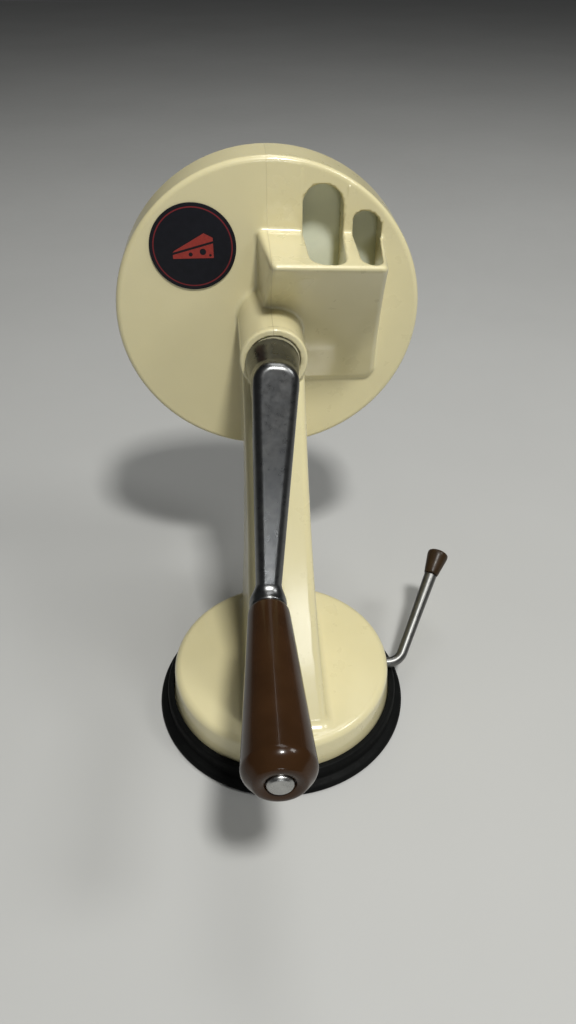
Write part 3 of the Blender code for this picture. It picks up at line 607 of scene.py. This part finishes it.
def disc(x, y, z):
    """The disc: rim, four ribs, hub, two windows for the plates and the shaft's square hole."""
    radial = np.hypot(x, z - SHAFT_Z)
    shape = round_meet(radial - DISC_R, slab(y, DISC_FRONT_Y, DISC_BACK_Y), 0.8)
    rim = slab(y, DISC_FRONT_Y + 0.6, DISC_RIM_BACK_Y)
    rim = round_meet(slab(radial, DISC_RIM_R, DISC_R), rim, 0.7)
    shape = round_union(shape, rim, 0.8)
    turn = np.arctan2(z - SHAFT_Z, x)
    across = np.abs(np.sin(turn)) * radial
    level = np.abs(np.cos(turn)) * radial
    ribs = slab(y, DISC_FRONT_Y + 1, DISC_RIB_BACK_Y)
    ribs = round_meet(np.minimum(across, level) - DISC_RIB_HALF, ribs, 0.4)
    ribs = np.maximum(ribs, slab(radial, *DISC_RIB_REACH))
    shape = round_union(shape, ribs, 0.8)
    hub = round_meet(radial - DISC_HUB_R, slab(y, DISC_LOW[1], DISC_HIGH[1]), 0.8)
    shape = round_union(shape, hub, 1.2)
    for angle in WINDOW_ANGLES:
        window = np.maximum(sector(x, z, angle, 0), slab(y, DISC_FRONT_Y - 3, DISC_BACK_Y + 3))
        shape = round_cut(shape, window, 0.4)
    cos, sin = math.cos(CRANK_ANGLE), math.sin(CRANK_ANGLE)
    u = np.abs(x * cos - (z - SHAFT_Z) * sin)
    v = np.abs(x * sin + (z - SHAFT_Z) * cos)
    return round_cut(shape, np.maximum(u, v) - SQUARE_HALF, 0.3)


def grating_holes(angle):
    """Middles (x, z) of a plate's holes."""
    for row in range(HOLE_ROWS):
        radius = FIRST_ROW_R + ROW_STEP * row
        count = 4 + row
        for k in range(count):
            spread = WINDOW_HALF_ANGLE * ROW_SPREAD * (2 * k / (count - 1) - 1)
            a = math.radians(angle + spread)
            yield radius * math.cos(a), SHAFT_Z + radius * math.sin(a)


def grating(angle):
    """A steel plate with a burred crown punched up round each hole."""

    def field(x, y, z):
        shape = round_meet(sector(x, z, angle, 0.3), slab(y, *PLATE_Y), 0.3)
        for hole_x, hole_z in grating_holes(angle):
            across, up = x - hole_x, z - hole_z
            reach = np.hypot(across, up)
            points = CROWN_TOOTH * np.cos(CROWN_TEETH * np.arctan2(up, across))
            cone = reach - HOLE_R - 0.75 + (PLATE_Y[0] - y) * 0.7
            crown = np.maximum(cone, CROWN_TOP_Y + points - y)
            crown = np.maximum(crown, y - CROWN_FOOT_Y)
            shape = round_union(shape, crown, 0.25)
            shape = round_cut(shape, reach - HOLE_R + 0.25, 0.1)
        return shape

    return field


# ---------------------------------------------------------------- building the pieces


def piece(obj, body, slot, *nodes):
    """Puts a mesh on a body and hides the CAD nodes that it replaces; the slot argument is not used."""
    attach(obj, body)
    if nodes:
        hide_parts(*nodes)
    return obj


def build_moulding():
    low = (-DRUM_R - 1.5, -BASE_R - 4, SKIRT_FOOT_Z - 1)
    high = (DRUM_R + 1.5, RIM_Y + 1.5, SHAFT_Z + DRUM_R + 1.5)
    obj = moulded("body_moulding", moulding, low, high, 1.0, 0.5)
    return piece(obj, "body", "cream_plastic", "drum_housing", "stand")


def build_crank():
    low = (-13, FERRULE_END_Y - 1, SHAFT_Z - CRANK_DROP - 10)
    high = (13, HUB_BACK_Y + 1, SHAFT_Z + 13)
    obj = hang(moulded("crank_casting", crank, low, high, 0.6, 0.6))
    return piece(obj, "crank", "cast_aluminium", "crank_arm")


def build_grip():
    start, end = GRIP_HIGH[1], GRIP_LOW[1]
    chamfer = end + 6.5
    outline = [
        (3.5, start, 0),
        (8.1, start, 0.5),
        (8.95, start - 1.1, 0.8),
        (9.3, start - 4.5, 3),
        (GRIP_R - 0.12, chamfer + 2.0, 1.6),
        (GRIP_R, chamfer, 1.0),
        (GRIP_R - 0.9, chamfer - 2.2, 1.2),
        (9.6, end + 0.2, 0.9),
        (7.6, end, 1.0),
        (5.7, end + 0.7, 0.4),
        (5.6, end + 2.2, 0.2),
        (3.5, end + 2.2, 0),
    ]
    obj = turned("grip_body", rounded(outline), 112, (GRIP_X, 0, GRIP_Z), "Y", closed=True)
    piece(obj, "grip", "brown_plastic", "handle_grip")
    spindle_low, spindle_high = box_mm("grip_spindle")
    head = spindle_low[1]
    rivet = [
        (0, spindle_high[1], 0),
        (3.2, spindle_high[1], 0.4),
        (3.2, end + 1.9, 0),
        (5.15, end + 1.9, 0.3),
        (5.2, head + 1.1, 0.9),
        (4.1, head + 0.05, 0.5),
        (2.6, head + 0.35, 0.4),
        (0, head + 0.4, 0),
    ]
    pin = turned("grip_rivet", rounded(rivet), 64, (GRIP_X, 0, GRIP_Z), "Y")
    return obj, piece(pin, "crank", "steel", "grip_spindle")


def build_disc():
    margin = 1.0
    low = (-DISC_R - margin, DISC_LOW[1] - margin, SHAFT_Z - DISC_R - margin)
    high = (DISC_R + margin, DISC_HIGH[1] + margin, SHAFT_Z + DISC_R + margin)
    plate = moulded("disc_plate", disc, low, high, 0.7, 0.5)
    piece(plate, "disc", "white_plastic", "disc_carrier")
    inserts = []
    for i, angle in enumerate(WINDOW_ANGLES):
        node = f"grating_insert_{i + 1}"
        near, far = box_mm(node)
        field = grating(angle)
        near = (near[0] - 0.6, 101.0, near[2] - 0.6)
        far = (far[0] + 0.6, 104.4, far[2] + 0.6)
        insert = moulded(f"grating_plate_{i + 1}", field, near, far, 0.4, 0.6)
        inserts.append(piece(insert, "disc", "steel", node))
    return plate, inserts


def build_nut():
    front, back = NUT_LOW[1], NUT_HIGH[1]
    radius = NUT_HIGH[0]
    outline = [
        (0, back, 0),
        (6.2, back, 0.5),
        (6.8, back - 0.5, 0.4),
        (8.2, back - 0.1, 0.5),
        (radius - 1.2, back - 0.2, 1.0),
        (radius, back - 1.8, 1.0),
        (radius, front + 3.6, 0.8),
        (8.2, front, 0.6),
        (3.3, front, 0),
        (3.3, back - 2, 0),
        (0, back - 2, 0),
    ]

    def lobes(a, r):
        return r - (0.9 * (0.5 + 0.5 * math.cos(9 * a)) ** 2 if r > 9 else 0)

    obj = turned("clamp_knob", rounded(outline), 180, (0, 0, SHAFT_Z), "Y", ripple=lobes)
    return piece(obj, "nut", "brown_plastic", "clamp_nut")


def build_cup():
    lip_in = SKIRT_R + 0.35
    seat = SKIRT_FOOT_Z - 0.4
    outline = [
        (0, 3.4, 0),
        (46, 3.4, 1),
        (50, seat, 1),
        (SKIRT_R + 1.6, seat, 0.2),
        (SKIRT_R + 1.6, 7.7, 0.2),
        (lip_in, 8.6, 0.4),
        (lip_in, CUP_LIP_Z, 0.5),
        (60.1, CUP_LIP_Z, 0.9),
        (60.9, 9.6, 0.6),
        (60.9, 4.7, 1.0),
        (62.2, 4.1, 0.5),
        (63.9, 3.4, 0.9),
        (CUP_R, 2.0, 0.7),
        (CUP_R, 0.5, 0.4),
        (CUP_R - 0.6, 0, 0.3),
        (52, 0, 0.5),
        (48, 1.1, 1),
        (15, 1.1, 1),
        (12, 0, 0.5),
        (0, 0, 0),
    ]
    obj = turned("suction_foot", rounded(outline), 144)
    return piece(obj, "body", "black_rubber", "suction_cup")


LEVER_BEND_X = 63.4
LEVER_BEND_R = 9.0
LEVER_END_X = -29.0
LEVER_ARM = Vector((28.4, 50.6, 28.2)).normalized()
LEVER_ARM_LENGTH = 68.6
LEVER_ROD_R = 2.75
LEVER_TIP_R = 3.5
LEVER_TANG_R = 2.5
KNOB_LENGTH = 14.8
KNOB_BASE_R = 3.85
KNOB_TIP_R = 6.1


def lever_path():
    """The rod's middle line, with its radius at each point."""
    corner = Vector((LEVER_BEND_X, 0, LEVER_Z))
    along = Vector((1, 0, 0))
    bend = along.angle(LEVER_ARM)
    reach = LEVER_BEND_R * math.tan(bend / 2)
    inwards = (LEVER_ARM - along * along.dot(LEVER_ARM)).normalized()
    centre = corner - along * reach + inwards * LEVER_BEND_R
    yield Vector((LEVER_END_X, 0, LEVER_Z)), LEVER_ROD_R - 0.4
    yield Vector((LEVER_END_X + 0.4, 0, LEVER_Z)), LEVER_ROD_R
    yield Vector((50, 0, LEVER_Z)), LEVER_ROD_R
    steps = 14
    for i in range(steps + 1):
        a = bend * i / steps
        yield centre + LEVER_BEND_R * (along * math.sin(a) - inwards * math.cos(a)), LEVER_ROD_R
    shoulder = LEVER_ARM_LENGTH - KNOB_LENGTH - 0.3
    steps = 12
    for i in range(1, steps + 1):
        share = i / steps
        distance = reach + (shoulder - 0.5 - reach) * share
        swell = (LEVER_TIP_R - LEVER_ROD_R) * share**1.4
        yield corner + LEVER_ARM * distance, LEVER_ROD_R + swell
    yield corner + LEVER_ARM * shoulder, LEVER_TIP_R - 0.5
    yield corner + LEVER_ARM * (shoulder + 0.05), LEVER_TANG_R
    yield corner + LEVER_ARM * (LEVER_ARM_LENGTH - 4), LEVER_TANG_R


def build_lever():
    path = list(lever_path())
    rings = []
    side = Vector((0, 0, 1))
    for i, (place, radius) in enumerate(path):
        before = path[max(i - 1, 0)][0]
        after = path[min(i + 1, len(path) - 1)][0]
        run = (after - before).normalized()
        side = (side - run * side.dot(run)).normalized()
        other = run.cross(side)
        count = 32
        ring = []
        for k in range(count):
            a = 2 * math.pi * k / count
            ring.append(tuple(place + radius * (side * math.cos(a) + other * math.sin(a))))
        rings.append(ring)
    rod = lofted("lever_bar", rings)
    piece(rod, "lever", "steel", "lever_rod")
    length = KNOB_LENGTH
    outline = [
        (0, length, 0),
        (3.0, length - 0.3, 1.5),
        (KNOB_TIP_R - 0.4, length - 1.2, 1.4),
        (KNOB_TIP_R - 0.3, length - 3.2, 1.2),
        (KNOB_BASE_R + 0.1, 0.6, 0.8),
        (KNOB_BASE_R - 0.2, 0, 0.2),
        (LEVER_TANG_R + 0.3, 0, 0),
        (LEVER_TANG_R + 0.3, length - 3, 0),
        (0, length - 3, 0),
    ]
    knob = turned("lever_cap", rounded(outline), 64)
    base = Vector((LEVER_BEND_X, 0, LEVER_Z)) + LEVER_ARM * (LEVER_ARM_LENGTH - length)
    turn = LEVER_ARM.to_track_quat("Z", "Y").to_matrix().to_4x4()
    knob.data.transform(Matrix.Translation(base * MM) @ turn)
    piece(knob, "lever", "brown_plastic", "lever_knob")
    return rod, knob


def build_badge():
    low, high = box_mm("badge")
    middle = ((low[0] + high[0]) / 2, 0, (low[2] + high[2]) / 2)
    radius = (high[0] - low[0]) / 2
    front, back = low[1], high[1]
    outline = [(0, back, 0), (radius, back, 0), (radius, front, 0.25), (0, front, 0)]
    obj = turned("badge_disc", rounded(outline), 96, middle, "Y")
    return piece(obj, "body", "black_label", "badge")


def build_badge_print():
    """A plain wedge of cheese printed on the badge: any kitchen label might carry it."""
    low, high = box_mm("badge")
    mid_x, mid_z = (low[0] + high[0]) / 2, (low[2] + high[2]) / 2
    front, back = low[1] - 0.06, low[1] + 0.05
    wedge = [(-9.5, -5.2), (9.5, -5.2), (9.5, 1.6), (-9.5, -3.4)]
    rind = [(-9.5, -2.3), (9.5, 2.7), (9.5, 4.2), (5.4, 6.4), (-8.6, -1.4)]
    prints = []
    for outline in (wedge, rind):
        flat = [(mid_x + u, mid_z + v) for u, v in outline]
        rings = [[(u, y, v) for u, v in flat] for y in (back, front)]
        prints.append(lofted("badge_motif", rings))
    for hole_u, hole_v, hole_r in ((4.6, -2.2, 1.5), (-1.2, -3.3, 0.95), (8.0, -3.9, 0.6)):
        outline = [(0, front - 0.02), (hole_r, front - 0.02), (hole_r, back), (0, back)]
        place = (mid_x + hole_u, 0, mid_z + hole_v)
        prints.append(turned("badge_hole", outline, 40, place, "Y"))
    return prints


# ---------------------------------------------------------------- materials


class Look:
    """A procedural material on one Principled shader, laid out in the object's own metres."""

    def __init__(self, name, **sockets):
        self.material = bpy.data.materials.new(name)
        self.material.use_nodes = True
        self.tree = self.material.node_tree
        self.shader = self.tree.nodes["Principled BSDF"]
        self.place = self.tree.nodes.new("ShaderNodeTexCoord").outputs["Object"]
        self.normal = None
        for socket, value in sockets.items():
            self.shader.inputs[socket.replace("_", " ")].default_value = value

    def join(self, value, socket):
        if isinstance(value, bpy.types.NodeSocket):
            self.tree.links.new(value, socket)
        else:
            socket.default_value = value

    def node(self, kind, inputs, **settings):
        made = self.tree.nodes.new(kind)
        for key, value in settings.items():
            setattr(made, key, value)
        for key, value in inputs.items():
            self.join(value, made.inputs[key])
        return made

    def noise(self, size, detail=4.0, roughness=0.55, stretch=(1, 1, 1)):
        """Noise from 0 to 1 whose patches are about size metres across, over stretch along each axis."""
        scaled = self.node("ShaderNodeMapping", {"Vector": self.place, "Scale": stretch}).outputs[0]
        values = {"Vector": scaled, "Scale": 1 / size, "Detail": detail, "Roughness": roughness}
        return self.node("ShaderNodeTexNoise", values).outputs["Fac"]

    def math(self, operation, *values):
        return self.node("ShaderNodeMath", dict(enumerate(values)), operation=operation).outputs[0]

    def axis(self, index):
        return self.node("ShaderNodeSeparateXYZ", {"Vector": self.place}).outputs[index]

    def from_axis(self, x, y, z, along):
        """Distance from the line through (x, y, z) in metres that runs along an axis."""
        offset = {0: self.place, 1: (x, y, z)}
        moved = self.node("ShaderNodeVectorMath", offset, operation="SUBTRACT")
        keep = [0.0 if along == letter else 1.0 for letter in "XYZ"]
        flat = self.node("ShaderNodeVectorMath", {0: moved.outputs[0], 1: keep}, operation="MULTIPLY")
        length = self.node("ShaderNodeVectorMath", {0: flat.outputs[0]}, operation="LENGTH")
        return length.outputs["Value"]

    def spread(self, value, start, end, low, high):
        """Goes from low to high as value goes from start to end."""
        inputs = {"Value": value, "From Min": start, "From Max": end, "To Min": low, "To Max": high}
        return self.node("ShaderNodeMapRange", inputs).outputs["Result"]

    def tint(self, value, *stops):
        """Goes through the stops' colours, each (position, colour), as value goes from 0 to 1."""
        ramp_node = self.node("ShaderNodeValToRGB", {"Fac": value})
        elements = ramp_node.color_ramp.elements
        elements[0].position, elements[0].color = stops[0][0], (*stops[0][1], 1)
        elements[-1].position, elements[-1].color = stops[-1][0], (*stops[-1][1], 1)
        for position, colour in stops[1:-1]:
            elements.new(position).color = (*colour, 1)
        return ramp_node.outputs["Color"]

    def blend(self, amount, first, second):
        mixer = self.tree.nodes.new("ShaderNodeMix")
        mixer.data_type = "RGBA"
        self.join(amount, mixer.inputs[0])
        self.join(first if not isinstance(first, tuple) else (*first, 1), mixer.inputs[6])
        self.join(second if not isinstance(second, tuple) else (*second, 1), mixer.inputs[7])
        return mixer.outputs[2]

    def colour(self, value):
        self.join(value, self.shader.inputs["Base Color"])

    def rough(self, value):
        self.join(value, self.shader.inputs["Roughness"])

    def bump(self, height, depth, strength):
        """Raises the surface by height, from 0 to 1, times depth in metres."""
        inputs = {"Height": height, "Distance": depth, "Strength": strength}
        if self.normal is not None:
            inputs["Normal"] = self.normal
        self.normal = self.node("ShaderNodeBump", inputs).outputs["Normal"]
        self.join(self.normal, self.shader.inputs["Normal"])


def cream_plastic():
    look = Look("cream_moulding", IOR=1.49, Specular_IOR_Level=0.45, Coat_Weight=0.6, Coat_Roughness=0.12)
    look.shader.inputs["Subsurface Weight"].default_value = 0.06
    look.shader.inputs["Subsurface Radius"].default_value = (1.0, 0.8, 0.4)
    look.shader.inputs["Subsurface Scale"].default_value = 0.0015
    broad = look.noise(0.045, 3)
    base = look.tint(broad, (0.3, (0.645, 0.585, 0.345)), (0.7, (0.685, 0.622, 0.375)))
    speck = look.noise(0.0005, 1)
    base = look.blend(look.spread(speck, 0.70, 0.76, 0, 0.12), base, (0.36, 0.30, 0.16))
    across = look.math("ABSOLUTE", look.axis(0))
    line = look.spread(across, 0.00005, 0.00028, 1, 0)
    above = look.spread(look.axis(2), 0.178, 0.180, 0, 1)
    ahead = look.spread(look.axis(1), 0.0865, 0.0895, 1, 0)
    line = look.math("MULTIPLY", look.math("MULTIPLY", line, above), look.math("MAXIMUM", ahead, 0.6))
    base = look.blend(look.math("MULTIPLY", line, 0.45), base, (0.36, 0.30, 0.17))
    look.colour(base)
    left = look.spread(look.axis(0), -0.0002, 0.0002, 1, 0)
    sheen = look.spread(look.noise(0.012, 4), 0.3, 0.7, 0.25, 0.36)
    look.rough(look.math("ADD", sheen, look.math("MULTIPLY", left, 0.08)))
    look.bump(look.noise(0.0060, 1), 0.00008, 0.35)
    look.bump(look.noise(0.0006, 2), 0.000010, 0.4)
    look.bump(line, 0.00009, 0.8)
    return look.material


def cast_aluminium():
    look = Look("cast_aluminium", Metallic=1.0)
    mottle = look.noise(0.0030, 2, 0.5)
    broad = look.noise(0.020, 3)
    tone = look.math("ADD", look.math("MULTIPLY", mottle, 0.45), look.math("MULTIPLY", broad, 0.55))
    dark, middle, light = (0.125, 0.128, 0.131), (0.145, 0.148, 0.149), (0.170, 0.171, 0.169)
    look.colour(look.tint(tone, (0.35, dark), (0.5, middle), (0.66, light)))
    look.rough(look.spread(look.noise(0.0026, 5, 0.6), 0.3, 0.7, 0.26, 0.34))
    look.bump(mottle, 0.00006, 0.20)
    look.bump(look.noise(0.0007, 3), 0.000015, 0.5)
    return look.material


def brown_plastic():
    look = Look("brown_plastic", IOR=1.5, Specular_IOR_Level=0.16, Coat_Weight=0.2, Coat_Roughness=0.05)
    tone = look.noise(0.02, 4)
    look.colour(look.tint(tone, (0.3, (0.026, 0.0115, 0.0042)), (0.7, (0.037, 0.0165, 0.0062))))
    look.rough(look.spread(look.noise(0.006, 5, 0.6), 0.3, 0.7, 0.17, 0.27))
    look.bump(look.noise(0.009, 3), 0.00010, 0.4)
    look.bump(look.noise(0.0008, 3), 0.000010, 0.5)
    return look.material


def knob_plastic():
    look = Look("knob_plastic", IOR=1.5, Specular_IOR_Level=0.2)
    tone = look.noise(0.006, 4)
    look.colour(look.tint(tone, (0.3, (0.024, 0.0140, 0.0065)), (0.7, (0.036, 0.021, 0.0100))))
    look.rough(look.spread(look.noise(0.002, 5, 0.6), 0.3, 0.7, 0.28, 0.42))
    look.bump(look.noise(0.0015, 3), 0.00004, 0.5)
    return look.material


def black_rubber():
    look = Look("black_rubber", IOR=1.45, Specular_IOR_Level=0.08)
    dust = look.noise(0.0011, 6, 0.7)
    broad = look.noise(0.02, 3)
    base = look.tint(broad, (0.3, (0.0026, 0.0028, 0.0028)), (0.7, (0.0052, 0.0056, 0.0054)))
    look.colour(look.blend(look.spread(dust, 0.62, 0.74, 0, 0.30), base, (0.10, 0.10, 0.095)))
    look.rough(look.spread(look.noise(0.004, 6, 0.7), 0.3, 0.7, 0.50, 0.70))
    look.bump(look.noise(0.0012, 4), 0.00006, 0.5)
    return look.material


def steel(name, along, tone, rough=(0.22, 0.36)):
    """Drawn or turned steel with fine streaks along one axis."""
    look = Look(name, Metallic=1.0)
    stretch = tuple(0.12 if along == letter else 1.0 for letter in "XYZ")
    streak = look.noise(0.0006, 5, 0.6, stretch)
    patch = look.noise(0.005, 4)
    mixed = look.math("ADD", look.math("MULTIPLY", streak, 0.5), look.math("MULTIPLY", patch, 0.5))
    dark, light = tone * 0.78, tone * 1.18
    look.colour(look.tint(mixed, (0.34, (dark, dark, dark * 0.98)), (0.66, (light, light, light * 0.97))))
    look.rough(look.spread(mixed, 0.3, 0.7, *rough))
    look.bump(streak, 0.00001, 0.5)
    return look.material


def plate_steel():
    look = Look("grating_steel", Metallic=1.0)
    grain = look.noise(0.0004, 5, 0.6, (1, 1, 0.08))
    look.colour(look.tint(grain, (0.3, (0.50, 0.505, 0.51)), (0.7, (0.66, 0.66, 0.66))))
    look.rough(look.spread(look.noise(0.003, 4), 0.3, 0.7, 0.18, 0.32))
    look.bump(grain, 0.00002, 0.5)
    return look.material


def white_plastic():
    look = Look("white_plastic", IOR=1.48, Specular_IOR_Level=0.45)
    look.colour(look.tint(look.noise(0.02, 4), (0.3, (0.68, 0.73, 0.60)), (0.7, (0.74, 0.78, 0.66))))
    look.rough(look.spread(look.noise(0.003, 4), 0.3, 0.7, 0.34, 0.46))
    look.bump(look.noise(0.0010, 3), 0.00002, 0.5)
    return look.material


def bush_plastic():
    look = Look("bush_plastic", IOR=1.48)
    rings = look.noise(0.0006, 3, 0.5, (1, 0.05, 1))
    look.colour(look.tint(look.noise(0.004, 4), (0.3, (0.54, 0.50, 0.33)), (0.7, (0.62, 0.58, 0.40))))
    look.rough(look.spread(rings, 0.3, 0.7, 0.34, 0.5))
    look.bump(rings, 0.00003, 0.4)
    return look.material


BADGE_RING_R_M = 0.01835
BADGE_RING_HALF_M = 0.00028


def label_black(middle):
    """The badge: gloss black, a thin dark red ring near its edge."""
    look = Look("label_black", IOR=1.45, Specular_IOR_Level=0.25)
    reach = look.from_axis(*middle, "Y")
    ring = look.math("COMPARE", reach, BADGE_RING_R_M, BADGE_RING_HALF_M)
    tone = look.noise(0.003, 5, 0.6)
    black = look.tint(tone, (0.3, (0.0040, 0.0045, 0.0075)), (0.7, (0.0065, 0.0070, 0.0115)))
    look.colour(look.blend(ring, black, (0.16, 0.016, 0.020)))
    look.rough(look.spread(look.noise(0.0016, 5), 0.3, 0.7, 0.30, 0.42))
    look.bump(look.noise(0.0009, 3), 0.00001, 0.5)
    return look.material


def print_red():
    look = Look("print_red", IOR=1.5)
    look.colour(look.tint(look.noise(0.0012, 4), (0.3, (0.22, 0.016, 0.010)), (0.7, (0.29, 0.024, 0.015))))
    look.rough(look.spread(look.noise(0.0008, 3), 0.3, 0.7, 0.35, 0.5))
    return look.material


def floor_paint():
    look = Look("floor_paint", IOR=1.4, Specular_IOR_Level=0.25)
    look.colour(look.tint(look.noise(0.35, 3), (0.3, (0.455, 0.458, 0.447)), (0.7, (0.485, 0.488, 0.477))))
    look.rough(look.spread(look.noise(0.02, 4), 0.3, 0.7, 0.55, 0.7))
    return look.material


def finish_with(obj, material):
    """Gives a piece or a CAD node its one material."""
    if not obj.material_slots:
        obj.data.materials.append(material)
    for slot in obj.material_slots:
        slot.material = material


# ---------------------------------------------------------------- the whole grater

cream = cream_plastic()
casting = cast_aluminium()
brown = brown_plastic()
knob_brown = knob_plastic()
rubber = black_rubber()
bright = steel("turned_steel", "Y", 0.42)
zinc = steel("zinc_rod", "", 0.18, (0.32, 0.44))
grate_steel = plate_steel()
white = white_plastic()
bush = bush_plastic()

finish_with(build_moulding(), cream)
finish_with(build_crank(), casting)
grip_piece, rivet_piece = build_grip()
finish_with(grip_piece, brown)
finish_with(rivet_piece, bright)
disc_piece, insert_pieces = build_disc()
finish_with(disc_piece, white)
for insert_piece in insert_pieces:
    finish_with(insert_piece, grate_steel)
finish_with(build_nut(), knob_brown)
finish_with(build_cup(), rubber)
rod_piece, knob_piece = build_lever()
finish_with(rod_piece, zinc)
finish_with(knob_piece, knob_brown)
badge_low, badge_high = box_mm("badge")
badge_middle = tuple((badge_low + badge_high) / 2 * MM)
finish_with(build_badge(), label_black(badge_middle))
red = print_red()
label_ink = label_black(badge_middle)
for i, print_piece in enumerate(build_badge_print()):
    print_piece.name = f"badge_print_{i + 1}"
    piece(print_piece, "body", "black_label")
    finish_with(print_piece, label_ink if i > 1 else red)

CARRIED_OVER = {
    "drive_shaft": bright,
    "thrust_washer": bright,
    "shaft_circlip": zinc,
    "eccentric_cam": bush,
    "lever_clip": zinc,
    "lift_yoke": white,
    "cup_plate": zinc,
    "front_bush": bush,
    "rear_bush": bush,
}
for node_name, node_look in CARRIED_OVER.items():
    finish_with(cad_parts[node_name], node_look)

# ---------------------------------------------------------------- floor, lights and camera

FLOOR_HALF_M = 4.0
FLOOR_DROP_M = 0.0002
floor_corners = [(FLOOR_HALF_M * u, FLOOR_HALF_M * v, 0) for u, v in ((-1, -1), (1, -1), (1, 1), (-1, 1))]
floor_mesh = bpy.data.meshes.new("floor")
floor_mesh.from_pydata(floor_corners, [], [(0, 1, 2, 3)])
floor = bpy.data.objects.new("floor", floor_mesh)
bpy.context.scene.collection.objects.link(floor)
floor.location.z = -FLOOR_DROP_M
finish_with(floor, floor_paint())

world = bpy.data.worlds.new("studio")
world.use_nodes = True
sky = world.node_tree.nodes["Background"]
sky.inputs["Color"].default_value = (0.96, 0.98, 1.0, 1)
sky.inputs["Strength"].default_value = 0.05
bpy.context.scene.world = world


def lamp(name, place, target, size, power, colour):
    """A rectangular area lamp, aimed from place at target, in metres and watts."""
    data = bpy.data.lights.new(name, "AREA")
    data.shape = "RECTANGLE"
    data.size, data.size_y = size
    data.energy = power
    data.color = colour
    obj = bpy.data.objects.new(name, data)
    obj.location = place
    aim = Vector(target) - Vector(place)
    obj.rotation_euler = aim.to_track_quat("-Z", "Y").to_euler()
    bpy.context.scene.collection.objects.link(obj)


lamp("key", (0.22, -0.64, 1.50), (0, 0.02, 0.12), (0.17, 0.17), 20.0, (1.0, 0.99, 0.96))
lamp("side", (1.10, -0.30, 1.45), (0, 0.02, 0.10), (0.4, 0.4), 7.0, (1.0, 1.0, 0.98))
lamp("back", (0.30, 0.60, 1.90), (0.10, 0.50, 0), (1.0, 0.6), 7.0, (1.0, 1.0, 0.98))
lamp("ceiling", (0.05, 0.75, 1.15), (0, -0.08, 0.12), (0.03, 0.9), 0.35, (1.0, 1.0, 1.0))
lamp("window", (0.12, -1.84, 0.66), (0, 0, 0.07), (0.36, 0.22), 3.0, (0.97, 0.99, 1.0))

bpy.context.scene.view_settings.view_transform = "Standard"

camera_data = bpy.data.cameras.new("camera")
camera_data.lens = 27.42
camera_data.sensor_width = 36.0
camera = bpy.data.objects.new("camera", camera_data)
camera.location = (-0.01524, -0.27732, 0.33924)
camera.rotation_euler = (math.radians(52.14), math.radians(0.0), math.radians(-3.88))
bpy.context.scene.collection.objects.link(camera)
bpy.context.scene.camera = camera
